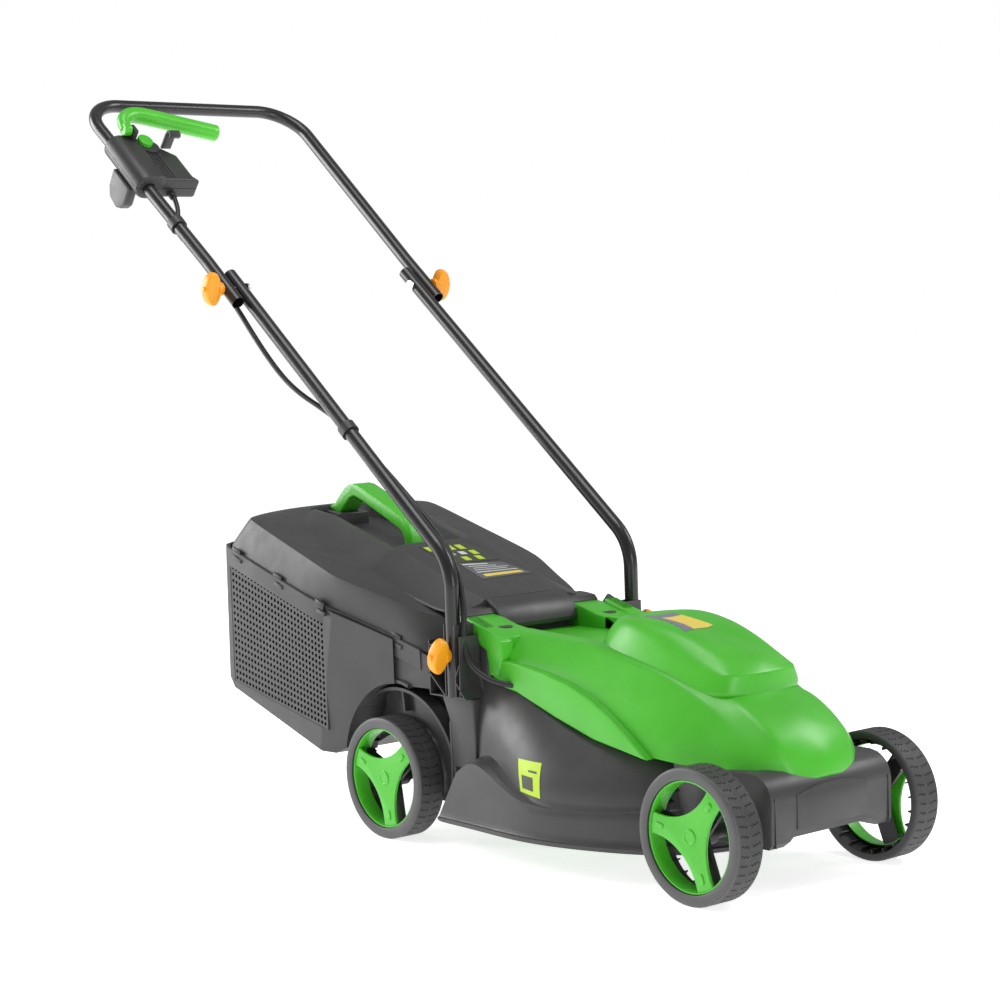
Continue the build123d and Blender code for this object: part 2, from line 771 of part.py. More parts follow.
def make_flap():
    front_z = flap_hinge_z + flap_lift
    hollow = flap_plate(flap_thickness)
    plate = flap_plate(0) - hollow - Pos(0, 0, -flap_thickness - 1) * hollow
    roll = cylinder_y(flap_roll_radius, -ear_inner + side_gap, ear_inner - side_gap, flap_hinge_x, flap_hinge_z)
    neck = side_prism([(-462, front_z), (-462, front_z + 4), (flap_hinge_x, flap_hinge_z + flap_roll_radius),
                       (flap_hinge_x, flap_hinge_z), (-456, flap_hinge_z)], ear_inner - side_gap)
    lip = side_prism([(-470, front_z + 5), (-470, front_z), (-452, front_z - 6), (-448, front_z)], ear_inner - side_gap)
    bore = cylinder_y(pin_radius + running_clearance, -100, 100, flap_hinge_x, flap_hinge_z)
    return plate + roll + neck + lip - bore


def make_flap_pin():
    return cylinder_y(pin_radius, -ear_inner - 12, ear_inner + 12, flap_hinge_x, flap_hinge_z)


# ---- Mains lead, clipped along the handle ----

lead_on_handle = [(223.1, -142, -8), (244, -145, -10), (266, -155, -16), (302, -164, -17), (344, -165, -20),
                  (385, -166, -18), (430, -165, -19), (474, -164, -21), (515, -163, -27), (562, -160, -34),
                  (609, -158, -36), (648, -156, -31), (685, -150, -23), (720, -145, -16), (762, -143, -13),
                  (806, -142, -8), (850, -141, -5), (905, -142, -1), (950, -141, 1)]
lead_on_deck = [(-451, -142, 386), (-432, -143, 358), (-423, -144, 329), (-414, -149, 300), (-412, -155, 270),
                (-402, -155, 246), (-384, -152, 230), (-363, -143, 220), (-343, -126, 215), (-324, -106, 214)]


def lead_entry():
    """Notch in the hood's edge where the lead goes in."""
    ends = [Vector(*p) for p in lead_on_deck[-4:]]
    hole = Pos(ends[1]) * Sphere(lead_radius + lead_play) + Pos(ends[2]) * Sphere(lead_radius + lead_play)
    for a, b in zip(ends, ends[1:]):
        plane = Plane(origin=(a + b) / 2, z_dir=b - a)
        hole = hole + plane * Cylinder(lead_radius + lead_play, (b - a).length + 8)
    return hole


def lead_points():
    return [on_handle(down, y, out) for down, y, out in lead_on_handle] + [Vector(*p) for p in lead_on_deck]


def lead_radii(points):
    radii = []
    for a, b, c in zip(points, points[1:], points[2:]):
        before = b - a
        after = c - b
        turn = radians(before.get_angle(after))
        radii.append(0.45 * min(before.length, after.length) / tan(turn / 2))
    return radii


def make_lead():
    points = lead_points()
    radii = lead_radii(points)
    print("lead bends, mm:", [round(r) for r in radii])
    lead = tube_along(points, radii, lead_radius)
    length = FilletPolyline(*points, radius=radii).length
    print("lead length", round(length), "volume ratio", round(lead.volume / (pi * lead_radius ** 2 * length), 4))
    return lead


# ---- Export ----

def save(name, shape):
    solids = shape if isinstance(shape, list) else [shape]
    placed = Pos(centre_shift, 0, 0) * Compound(children=[Compound(s.solids()) for s in solids])
    export_step(placed, "parts/" + name + ".step")


def main():
    save("deck_housing", make_deck())
    save("motor_hood", make_hood())
    save("hood_screw_caps", make_caps())
    save("motor_can", make_motor_can())
    save("stator_core", make_stator())
    save("motor_bearings", make_bearings())
    save("armature", make_armature())
    save("rotor_shaft", make_shaft())
    save("blade_holder_fan", make_fan())
    save("cutting_blade", make_blade())
    save("blade_washer", make_blade_washer())
    save("blade_nut", make_blade_nut())

    wheel = make_wheel()
    cover = make_wheel_cover()
    for end, track, x in (("front", front_track, 0.0), ("rear", rear_track, rear_axle_x)):
        for part, shape in (("wheel", wheel), ("wheel_cover", cover)):
            left, right = both_sides(place_wheel(shape, track, x))
            save(end + "_left_" + part, left)
            save(end + "_right_" + part, right)
        plate_face = neck_half_width if end == "front" else arm_outer
        save(end + "_axle_rod", make_axle(track, x))
        save(end + "_axle_nuts", make_axle_nuts(track, x))
        save(end + "_axle_spacers", make_spacers(track, x, plate_face))

    left, right = both_sides(make_lower_handle())
    save("lower_handle_left", left)
    save("lower_handle_right", right)
    save("upper_handle", make_upper_handle())
    save("upper_handle_bolts", make_upper_bolts())
    save("lower_handle_bolts", make_lower_bolts())
    for name, knob in (("upper_knob", make_upper_knob()), ("lower_knob", make_lower_knob())):
        left, right = both_sides(knob)
        save(name + "_left", left)
        save(name + "_right", right)
    save("upper_lead_clip", make_clip(upper_clip_down, arm_y(upper_clip_down), (-164, -17, lead_radius + lead_play)))
    save("lower_lead_clip", make_clip(lower_clip_down, lower_spread, (-143, -13, lead_radius + lead_play)))

    save("switch_case_top", make_case(True))
    save("switch_case_bottom", make_case(False))
    save("switch_module", make_switch())
    save("lead_gland", make_gland())
    save("bail_pin", in_handle(bail_pin_form()))
    save("bail_lever", make_bail())
    save("lock_off_button", make_button())
    save("plug_inlet", make_inlet())
    save("plug_inlet_pins", make_inlet_pins())
    save("cord_hook", make_hook())

    save("grass_box_lower", make_box_lower())
    save("grass_box_lid", make_box_upper())
    save("grass_box_handle", make_box_handle())
    left, right = both_sides(make_vent())
    save("vent_panel_left", left)
    save("vent_panel_right", right)
    save("rear_flap", make_flap())
    save("flap_hinge_pin", make_flap_pin())
    save("mains_lead", make_lead())


main()
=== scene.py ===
from math import acos, asin, atan2, cos, hypot, pi, radians, sin

import bmesh
import bpy
from mathutils import Matrix, Vector
from mathutils.bvhtree import BVHTree


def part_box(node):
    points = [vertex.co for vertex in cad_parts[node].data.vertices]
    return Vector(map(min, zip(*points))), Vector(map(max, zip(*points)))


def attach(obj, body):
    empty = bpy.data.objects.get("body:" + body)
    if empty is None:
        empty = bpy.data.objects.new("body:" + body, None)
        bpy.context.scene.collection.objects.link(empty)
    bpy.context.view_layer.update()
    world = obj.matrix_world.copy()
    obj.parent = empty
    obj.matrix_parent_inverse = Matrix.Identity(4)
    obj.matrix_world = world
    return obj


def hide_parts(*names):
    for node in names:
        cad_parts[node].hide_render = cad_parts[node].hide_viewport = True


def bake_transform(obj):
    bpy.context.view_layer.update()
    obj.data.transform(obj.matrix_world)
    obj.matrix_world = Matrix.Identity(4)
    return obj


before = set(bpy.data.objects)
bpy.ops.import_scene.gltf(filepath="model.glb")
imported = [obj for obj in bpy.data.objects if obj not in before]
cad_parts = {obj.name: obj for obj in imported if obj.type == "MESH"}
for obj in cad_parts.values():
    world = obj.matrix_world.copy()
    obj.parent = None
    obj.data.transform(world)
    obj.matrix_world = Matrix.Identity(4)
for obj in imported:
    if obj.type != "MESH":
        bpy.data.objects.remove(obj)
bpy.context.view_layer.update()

# Corded electric rotary mower. Every piece is drawn in millimetres from the front axle, x forward, y to the
# mower's left, z up from the ground, and finishPiece turns it to metres in the frame.
axleLow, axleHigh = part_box("front_axle_rod")
axleX = (axleLow.x + axleHigh.x) / 2
mm = 0.001
toFrame = Matrix.Translation((axleX, 0, 0)) @ Matrix.Scale(mm, 4)


# Materials

def linear(hexColor):  # sRGB hex to the linear numbers that the shader wants
    values = []
    for k in (1, 3, 5):
        c = int(hexColor[k:k + 2], 16) / 255
        values.append(c / 12.92 if c <= 0.04045 else ((c + 0.055) / 1.055) ** 2.4)
    return (*values, 1.0)


def addNode(tree, kind, settings=(), values=(), links=()):  # one node with its settings, values and links
    node = tree.nodes.new(kind)
    for name, value in dict(settings).items():
        setattr(node, name, value)
    for name, value in dict(values).items():
        node.inputs[name].default_value = value
    for name, source in dict(links).items():
        tree.links.new(source, node.inputs[name])
    return node


def startMaterial(name, values):
    material = bpy.data.materials.new(name)
    material.use_nodes = True
    tree = material.node_tree
    tree.nodes.clear()
    shader = addNode(tree, "ShaderNodeBsdfPrincipled", values=values)
    addNode(tree, "ShaderNodeOutputMaterial", links={"Surface": shader.outputs["BSDF"]})
    place = addNode(tree, "ShaderNodeTexCoord").outputs["Object"]
    return material, tree, shader, place


def mottle(tree, place, size, detail=3.0):  # noise whose grains are about size millimetres
    return addNode(tree, "ShaderNodeTexNoise", values={"Scale": 1 / (size * mm), "Detail": detail},
                   links={"Vector": place}).outputs["Fac"]


def between(tree, factor, low, high, fromLow=0.3, fromHigh=0.7):
    return addNode(tree, "ShaderNodeMapRange",
                   values={"From Min": fromLow, "From Max": fromHigh, "To Min": low, "To Max": high},
                   links={"Value": factor}).outputs["Result"]


def ramp(tree, factor, stops):
    node = addNode(tree, "ShaderNodeValToRGB", links={"Fac": factor})
    node.color_ramp.elements[0].position, node.color_ramp.elements[0].color = stops[0][0], linear(stops[0][1])
    last = node.color_ramp.elements[1]
    last.position, last.color = stops[-1][0], linear(stops[-1][1])
    for position, color in stops[1:-1]:
        node.color_ramp.elements.new(position).color = linear(color)
    return node.outputs["Color"]


# Moulded plastic: its tone drifts a little over a few centimetres,
# and the tool's spark-eroded grain breaks up
# the shine. Real grain is 0.1 to 0.3 mm, too fine to show, so it is drawn coarser.
def moulded(name, dark, light, rough, grain, height, ior=1.5, patch=60.0, coat=0.0):
    material, tree, shader, place = startMaterial(name, {"IOR": ior, "Coat Weight": coat})
    drift = mottle(tree, place, patch)
    fine = mottle(tree, place, grain, 2.0)
    tree.links.new(ramp(tree, drift, [(0.3, dark), (0.7, light)]), shader.inputs["Base Color"])
    tree.links.new(between(tree, mottle(tree, place, patch / 3), rough - 0.04, rough + 0.05),
                   shader.inputs["Roughness"])
    bump = addNode(tree, "ShaderNodeBump", values={"Strength": 0.5, "Distance": height * mm},
                   links={"Height": fine})
    tree.links.new(bump.outputs["Normal"], shader.inputs["Normal"])
    return material


def zincPlated(name, dark, light, rough):  # bright zinc has fine blotches and a faint drawn grain
    material, tree, shader, place = startMaterial(name, {"Metallic": 1.0})
    blotch = mottle(tree, place, 4.0)
    tree.links.new(ramp(tree, blotch, [(0.3, dark), (0.7, light)]), shader.inputs["Base Color"])
    tree.links.new(between(tree, mottle(tree, place, 1.2), rough - 0.08, rough + 0.1),
                   shader.inputs["Roughness"])
    return material


# One entry for each finish: sRGB colours, gloss and grain in millimetres
finishes = {
    "polypropyleneBlack": dict(dark="#393939", light="#3f3f3f", rough=0.40, grain=0.9, height=0.05),
    "polypropyleneBoxGrey": dict(dark="#3d3d3d", light="#444444", rough=0.46, grain=0.9, height=0.06),
    "absGreen": dict(dark="#48b428", light="#4dbc2c", rough=0.34, grain=1.2, height=0.02),
    "absGreenGloss": dict(dark="#49b828", light="#4fc02e", rough=0.27, grain=1.4, height=0.015),
    "tyreSidewallVinyl": dict(dark="#4c4c4c", light="#545454", rough=0.5, grain=0.8, height=0.05),
    "tyreTreadVinyl": dict(dark="#343434", light="#404040", rough=0.6, grain=0.7, height=0.10),
    "powderCoatBlack": dict(dark="#151515", light="#1b1b1b", rough=0.3, grain=1.6, height=0.01, patch=90.0,
                            coat=0.2),
    "switchNylonBlack": dict(dark="#2c2c2c", light="#333333", rough=0.42, grain=0.7, height=0.06),
    "knobNylonOrange": dict(dark="#f59a12", light="#fba91e", rough=0.34, grain=1.0, height=0.02),
    "leadVinylBlack": dict(dark="#1d1d1d", light="#242424", rough=0.42, grain=0.6, height=0.04),
    "motorVarnishGrey": dict(dark="#555a5c", light="#666b6e", rough=0.4, grain=1.0, height=0.04),
    "nylonDark": dict(dark="#202020", light="#282828", rough=0.45, grain=0.8, height=0.05),
}
labels = {"labelPurpleGrey": "#7d7a8c", "labelYellow": "#e8cf57", "labelYellowGreen": "#b9d92a",
          "labelInk": "#3f4238",
          "labelGrey": "#5f6063", "labelWhite": "#cfd2d2"}  # printed vinyl
for ink, shade in labels.items():
    finishes[ink] = dict(dark=shade, light=shade, rough=0.42, grain=0.4, height=0.004, patch=40.0)
material = {name: moulded(name, **values) for name, values in finishes.items()}
material["zincPlatedSteel"] = zincPlated("zincPlatedSteel", "#a9abaa", "#d6d8d6", 0.3)
material["groundBladeSteel"] = zincPlated("groundBladeSteel", "#7c7d7e", "#9b9c9d", 0.38)
material["brassPins"] = zincPlated("brassPins", "#b58a3a", "#cda351", 0.3)
print("materials ready")


# Shape helpers

def vertLoop(bm, points, closed=True):  # a loop of edges through the points
    verts = [bm.verts.new(p) for p in points]
    ends = verts[1:] + verts[:1] if closed else verts[1:]
    return [bm.edges.new(pair) for pair in zip(verts, ends)]


def loft(bm, sections, capFirst=True, capLast=True, closed=True):  # one skin through loops of equal count
    loops = [vertLoop(bm, points, closed) for points in sections]
    for a, b in zip(loops, loops[1:]):
        bmesh.ops.bridge_loops(bm, edges=a + b)
    if capFirst:
        bmesh.ops.edgeloop_fill(bm, edges=loops[0])
    if capLast:
        bmesh.ops.edgeloop_fill(bm, edges=loops[-1])
    return loops


def prism(bm, points, along, low, high):  # a flat outline pushed from low to high along x, y or z
    turn = {"x": lambda a, b, c: (c, a, b),
            "y": lambda a, b, c: (a, c, b),
            "z": lambda a, b, c: (a, b, c)}[along]
    start = [bm.verts.new(turn(a, b, low)) for a, b in points]
    face = bm.faces.new(start)
    raised = bmesh.ops.extrude_face_region(bm, geom=[face])
    top = [v for v in raised["geom"] if isinstance(v, bmesh.types.BMVert)]
    bmesh.ops.translate(bm, verts=top, vec=turn(0, 0, high - low))
    return start + top


def block(bm, x0, x1, y0, y1, z0, z1):
    made = bmesh.ops.create_cube(bm, size=1.0)["verts"]
    bmesh.ops.scale(bm, verts=made, vec=(x1 - x0, y1 - y0, z1 - z0))
    bmesh.ops.translate(bm, verts=made, vec=((x0 + x1) / 2, (y0 + y1) / 2, (z0 + z1) / 2))
    return made


def rod(bm, start, end, radius, endRadius=None, segments=24):  # a straight round bar between two points
    a, b = Vector(start), Vector(end)
    made = bmesh.ops.create_cone(bm, cap_ends=True, segments=segments, radius1=radius,
                                 radius2=radius if endRadius is None else endRadius,
                                 depth=(b - a).length)["verts"]
    turn = (b - a).to_track_quat("Z", "Y").to_matrix().to_4x4()
    bmesh.ops.transform(bm, matrix=Matrix.Translation((a + b) / 2) @ turn, verts=made)
    return made


def turned(bm, profile, segments=96):  # spins (y, radius) points about the Y axis
    edges = vertLoop(bm, [(0, y, r) for y, r in profile])
    bmesh.ops.spin(bm, geom=edges + list({v for e in edges for v in e.verts}), cent=(0, 0, 0), axis=(0, 1, 0),
                   angle=2 * pi, steps=segments, use_merge=True)


def mirrored(points):  # adds the right-hand half to (x, y, z) points given on the left, rear to front
    return list(points) + [(x, -y, z) for x, y, z in reversed(points) if abs(y) > 0.01]


# bevels the edges that turn more than over degrees
def roundEdges(bm, width, segments=3, over=25.0, keep=None):
    bmesh.ops.remove_doubles(bm, verts=bm.verts, dist=0.01)
    bmesh.ops.recalc_face_normals(bm, faces=bm.faces)
    edges = [e for e in bm.edges if len(e.link_faces) == 2 and e.calc_face_angle() > radians(over)
             and (keep is None or keep(e))]
    bmesh.ops.bevel(bm, geom=edges, offset=width, affect="EDGES", segments=segments, profile=0.5, material=-1,
                    clamp_overlap=True)


def evaluated(thing, modifiers):  # a bmesh after some modifiers
    mesh = bpy.data.meshes.new("work")
    thing.to_mesh(mesh)
    obj = bpy.data.objects.new("work", mesh)
    bpy.context.scene.collection.objects.link(obj)
    others = []
    for kind, settings in modifiers:
        modifier = obj.modifiers.new(kind, kind)
        for name, value in settings.items():
            if isinstance(value, bmesh.types.BMesh):
                otherMesh = bpy.data.meshes.new("other")
                value.to_mesh(otherMesh)
                value = bpy.data.objects.new("other", otherMesh)
                bpy.context.scene.collection.objects.link(value)
                value.hide_render = True
                others.append(value)
            setattr(modifier, name, value)
    graph = bpy.context.evaluated_depsgraph_get()
    result = bpy.data.meshes.new_from_object(obj.evaluated_get(graph))
    out = bmesh.new()
    out.from_mesh(result)
    for one in [obj] + others:
        data = one.data
        bpy.data.objects.remove(one)
        bpy.data.meshes.remove(data)
    bpy.data.meshes.remove(result)
    return out


def cut(base, *cutters, overlapping=False):
    for cutter in cutters:
        bmesh.ops.recalc_face_normals(cutter, faces=cutter.faces)
    bmesh.ops.recalc_face_normals(base, faces=base.faces)
    return evaluated(base,
                     [("BOOLEAN", {"operation": "DIFFERENCE", "solver": "EXACT", "use_self": overlapping,
                                        "object": c})
                            for c in cutters])


def join(base, *others):
    for one in (base,) + others:
        bmesh.ops.recalc_face_normals(one, faces=one.faces)
    return evaluated(base,
                     [("BOOLEAN", {"operation": "UNION", "solver": "EXACT", "object": c}) for c in others])


def common(base, *others):
    for one in (base,) + others:
        bmesh.ops.recalc_face_normals(one, faces=one.faces)
    return evaluated(base, [("BOOLEAN",
                             {"operation": "INTERSECT", "solver": "EXACT", "object": c}) for c in others])


def subdivided(bm, levels):
    return evaluated(bm, [("SUBSURF", {"levels": levels, "render_levels": levels})])


def creaseEdges(bm, test, amount):
    layer = bm.edges.layers.float.get("crease_edge") or bm.edges.layers.float.new("crease_edge")
    for edge in bm.edges:
        if test(edge.verts[0].co, edge.verts[1].co):
            edge[layer] = amount


def finishPiece(bm, name, finish, body, replaces=(), flat=28.0, orient=True):
    bmesh.ops.remove_doubles(bm, verts=bm.verts, dist=0.005)
    if orient:
        bmesh.ops.recalc_face_normals(bm, faces=bm.faces)
    bmesh.ops.transform(bm, matrix=toFrame, verts=bm.verts)
    mesh = bpy.data.meshes.new(name)
    bm.to_mesh(mesh)
    bm.free()
    mesh.polygons.foreach_set("use_smooth", [True] * len(mesh.polygons))
    mesh.set_sharp_from_angle(angle=radians(flat))
    obj = bpy.data.objects.new(name, mesh)
    bpy.context.scene.collection.objects.link(obj)
    obj.data.materials.append(material[finish])
    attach(obj, body)
    if replaces:
        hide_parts(*replaces)
    return obj


# Handle places are given as: down the arm from the grip, across, and out of the handle's plane
handle = {"angle": 39.2, "footX": -428.0, "bendZ": 368.0, "length": 1026.6, "fold": 453.0, "tube": 9.5}
handleSlope = radians(handle["angle"])
alongArm = Vector((cos(handleSlope), 0, -sin(handleSlope)))
outOfArm = Vector((sin(handleSlope), 0, cos(handleSlope)))
gripPoint = Vector((handle["footX"] - handle["length"] * cos(handleSlope), 0,
                    handle["bendZ"] + handle["length"] * sin(handleSlope)))
handleMatrix = Matrix.Translation(gripPoint) @ Matrix(((alongArm.x, 0, outOfArm.x), (0, 1, 0),
                                                       (alongArm.z, 0, outOfArm.z))).to_4x4()


def onHandle(down, y, out=0.0):
    return handleMatrix @ Vector((down, y, out))


def intoHandle(bm):
    bmesh.ops.transform(bm, matrix=handleMatrix, verts=bm.verts)


# Camera, light and floor

shot = {"place": (2.452777, -2.030173, 0.665381), "yaw": 2.437, "pitch": -0.0736, "roll": -0.0343,
        "lens": 84.71}


def makeCamera():
    yaw, pitch, roll = shot["yaw"], shot["pitch"], shot["roll"]
    forward = Vector((cos(pitch) * cos(yaw), cos(pitch) * sin(yaw), sin(pitch)))
    level = forward.cross(Vector((0, 0, 1))).normalized()
    upright = level.cross(forward)
    right = level * cos(roll) + upright * sin(roll)
    up = upright * cos(roll) - level * sin(roll)
    data = bpy.data.cameras.new("camera")
    data.sensor_width = 36.0
    data.lens = shot["lens"]
    data.clip_start = 0.05
    camera = bpy.data.objects.new("camera", data)
    bpy.context.scene.collection.objects.link(camera)
    camera.matrix_world = Matrix.Translation(shot["place"]) @ Matrix((right, up,
                                                                      -forward)).transposed().to_4x4()
    bpy.context.scene.camera = camera


# Soft boxes of a product studio: place and target in metres, size and power
softBoxes = {
    "keyBox": dict(place=(-3.0, -1.7, 1.5), target=(0, 0, 0.25), size=2.0, power=95),
    "topBox": dict(place=(0.2, -0.4, 3.6), target=(0, 0, 0.3), size=1.8, power=44),
    "noseBox": dict(place=(1.7, 2.6, 2.7), target=(0.2, 0, 0.2), size=1.5, power=52),
    "frontBox": dict(place=(3.7, -0.3, 0.9), target=(0.3, 0, 0.1), size=0.9, power=16),
}
studio = {"fill": 0.34, "backdrop": 1.0, "floorGlow": 0.74}  # the sweep is lit from below like a light table


def makeLights():
    for name, box in softBoxes.items():
        data = bpy.data.lights.new(name, "AREA")
        data.shape = "SQUARE"
        data.size = box["size"]
        data.energy = box["power"]
        lamp = bpy.data.objects.new(name, data)
        bpy.context.scene.collection.objects.link(lamp)
        aim = Vector(box["target"]) - Vector(box["place"])
        lamp.matrix_world = Matrix.Translation(box["place"]) @ aim.to_track_quat("-Z",
                                                                                 "Y").to_matrix().to_4x4()
    world = bpy.data.worlds.new("studio")
    bpy.context.scene.world = world
    world.use_nodes = True
    tree = world.node_tree
    tree.nodes["Background"].inputs["Color"].default_value = (1, 1, 1, 1)
    direct = addNode(tree, "ShaderNodeLightPath").outputs["Is Camera Ray"]
    strength = between(tree, direct, studio["fill"], studio["backdrop"], 0.0, 1.0)
    tree.links.new(strength, tree.nodes["Background"].inputs["Strength"])


def makeFloor():
    bm = bmesh.new()
    bmesh.ops.create_grid(bm, x_segments=1, y_segments=1, size=30)
    mesh = bpy.data.meshes.new("floor")
    bm.to_mesh(mesh)
    bm.free()
    floor = bpy.data.objects.new("floor", mesh)
    bpy.context.scene.collection.objects.link(floor)
    paper, tree, shader, place = startMaterial("paperFloor",
                                               {"Roughness": 0.9, "Emission Color": (1, 1, 1, 1),
                                                              "Emission Strength": studio["floorGlow"]})
    tree.links.new(ramp(tree, mottle(tree, place, 900.0), [(0.3, "#f6f6f6"), (0.7, "#fafafa")]),
                   shader.inputs["Base Color"])
    mesh.materials.append(paper)


makeCamera()
makeLights()
makeFloor()
bpy.context.scene.view_settings.view_transform = "Standard"
print("camera, lights and floor ready")


# Mains lead, clipped along the right arm

lead = {"radius": 3.7}
leadOnHandle = [(223.1, -142, -8), (244, -145, -10), (266, -155, -16), (302, -164, -17), (344, -165, -20),
                (385, -166, -18), (430, -165, -19), (474, -164, -21), (515, -163, -27), (562, -160, -34),
                (609, -158, -36), (648, -156, -31), (685, -150, -23), (720, -145, -16), (762, -143, -13),
                (806, -142, -8), (850, -141, -5), (905, -142, -1), (950, -141, 1)]
leadOnDeck = [(-451, -142, 386), (-432, -143, 358), (-423, -144, 329), (-414, -149, 300), (-412, -155, 270),
              (-402, -155, 246), (-384, -152, 230), (-363, -143, 220), (-343, -126, 215), (-324, -106, 214)]


def makeLead():
    points = [onHandle(*p) for p in leadOnHandle] + [Vector(p) for p in leadOnDeck]
    curve = bpy.data.curves.new("leadRoute", "CURVE")
    curve.dimensions = "3D"
    spline = curve.splines.new("NURBS")
    spline.points.add(len(points) - 1)
    for point, place in zip(spline.points, points):
        point.co = (*place, 1)
    spline.order_u = 3
    spline.use_endpoint_u = True
    curve.bevel_depth = lead["radius"]
    curve.bevel_resolution = 3
    curve.resolution_u = 8
    curve.use_fill_caps = True
    route = bpy.data.objects.new("leadRoute", curve)
    bpy.context.scene.collection.objects.link(route)
    mesh = bpy.data.meshes.new_from_object(route.evaluated_get(bpy.context.evaluated_depsgraph_get()))
    bpy.data.objects.remove(route)
    mesh.transform(toFrame)
    mesh.name = "mainsLead"
    mesh.polygons.foreach_set("use_smooth", [True] * len(mesh.polygons))
    obj = bpy.data.objects.new("mainsLead", mesh)
    bpy.context.scene.collection.objects.link(obj)
    mesh.materials.clear()
    mesh.materials.append(material["leadVinylBlack"])
    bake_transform(obj)
    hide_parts("mains_lead")


makeLead()
print("lead ready")


# Wheels: the tyre's outer face is towards +y, the wheel's own centre is at the origin

wheel = {"radius": 80.0, "width": 42.0, "rim": 66.0, "sipes": 44, "sipeWidth": 1.3, "sipeDepth": 1.6,
         "zig": 3.2, "ribs": 24, "spoke": 22.0}


def treadShift(row, rows):  # how far the zigzag stands to one side at a row of the tread
    steps = [0.0, 0.55, -0.2, 0.75, 0.2, 1.0, 0.45]
    return steps[row % len(steps)] if row < rows / 2 else 1.0 - steps[row % len(steps)]


def makeTread(bm):  # the running surface, a band of wide blocks and narrow grooves that are pushed in
    columns, rows = 2 * wheel["sipes"], 14
    shoulder = 3.0
    made = bmesh.ops.create_grid(bm, x_segments=columns, y_segments=rows, size=0.5)["verts"]
    pitch = 2 * pi * wheel["radius"] / wheel["sipes"]
    for vert in made:
        column = round((vert.co.x + 0.5) * columns)
        row = round((vert.co.y + 0.5) * rows)
        across = shoulder + (wheel["width"] - 2 * shoulder) * row / rows
        along = (column // 2) * pitch + (column % 2) * (pitch - wheel["sipeWidth"])
        along += treadShift(row, rows) * wheel["zig"] * (1 if 0 < row < rows else 0)
        angle = along / wheel["radius"]
        vert.co = (wheel["radius"] * sin(angle), across, wheel["radius"] * cos(angle))
    bmesh.ops.remove_doubles(bm, verts=bm.verts, dist=0.05)
    grooves = []
    for face in bm.faces:
        centre = face.calc_center_median()
        inBlock = 5.5 < centre.y < 18.5 or 23.5 < centre.y < 36.5
        if inBlock and face.calc_area() < 0.35 * pitch * wheel["width"] / rows:
            grooves.append(face)
    pushed = bmesh.ops.extrude_face_region(bm, geom=grooves)
    bmesh.ops.delete(bm, geom=grooves, context="FACES")
    for vert in [v for v in pushed["geom"] if isinstance(v, bmesh.types.BMVert)]:
        length = hypot(vert.co.x, vert.co.z)
        vert.co.x *= 1 - wheel["sipeDepth"] / length
        vert.co.z *= 1 - wheel["sipeDepth"] / length


def makeTyre(bm):
    makeTread(bm)
    radius, rim, width = wheel["radius"], wheel["rim"], wheel["width"]
    seamHigh = 0.25
    for vert in bm.verts:  # the mould's centre seam and the crown of the tread
        if abs(vert.co.y - width / 2) < 0.6 and hypot(vert.co.x, vert.co.z) > radius - 0.5:
            vert.co.x *= 1 - seamHigh / radius
            vert.co.z *= 1 - seamHigh / radius
    outerSide = [(3.0, radius), (1.2, radius - 0.9), (0.4, radius - 2.4), (0.0, radius - 4.2),
                 (0.0, rim + 1.2),
                 (0.8, rim), (8.0, rim - 0.4)]
    innerSide = [(3.0, radius), (1.2, radius - 0.9), (0.4, radius - 2.4), (0.0, radius - 4.2),
                 (0.4, rim + 5.0),
                 (9.0, rim + 4.6), (width - 8.0, rim - 0.4)]
    for profile, flip in ((outerSide, True), (innerSide, False)):
        edges = []
        verts = [bm.verts.new((0, width - y if flip else y, r)) for y, r in profile]
        edges = [bm.edges.new(pair) for pair in zip(verts, verts[1:])]
        bmesh.ops.spin(bm, geom=edges + verts, cent=(0, 0, 0), axis=(0, 1, 0), angle=2 * pi,
                       steps=2 * wheel["sipes"], use_merge=True)


def makeWheelInside(bm):  # the web of ribs behind the tyre, the three spokes and the hub
    rim, rows = wheel["rim"], wheel["ribs"]
    for k in range(rows):
        rib = block(bm, rim - 0.6, rim + 4.9, 1.5, wheel["width"] - 9, -0.8, 0.8)
        bmesh.ops.rotate(bm, verts=rib, cent=(0, 0, 0), matrix=Matrix.Rotation(k * 2 * pi / rows, 3, "Y"))
    for k in range(3):
        spoke = block(bm, 6, rim + 1, 19, 24, -wheel["spoke"] / 2, wheel["spoke"] / 2)
        bmesh.ops.rotate(bm, verts=spoke, cent=(0, 0, 0),
                         matrix=Matrix.Rotation(pi / 2 + k * 2 * pi / 3, 3, "Y"))
    turned(bm, [(2, 5.06), (2, 12.2), (2.8, 13), (30, 13), (30, 5.06)], 48)


def placeWheel(bm, side, x, track):  # side is 1 for left; the outer face ends at half the track
    if side < 0:
        bmesh.ops.scale(bm, verts=bm.verts, vec=(1, -1, 1))
        bmesh.ops.reverse_faces(bm, faces=bm.faces)
    bmesh.ops.translate(bm, verts=bm.verts, vec=(x, side * (track / 2 - wheel["width"]), wheel["radius"]))


cover = {"outer": 65.6, "wall": 2.6, "bottom": 18.0, "face": 38.0, "plate": 3.2, "windowRadius": 76.3,
         "windowReach": 102.3, "boss": 10.0, "padReach": 49.0}


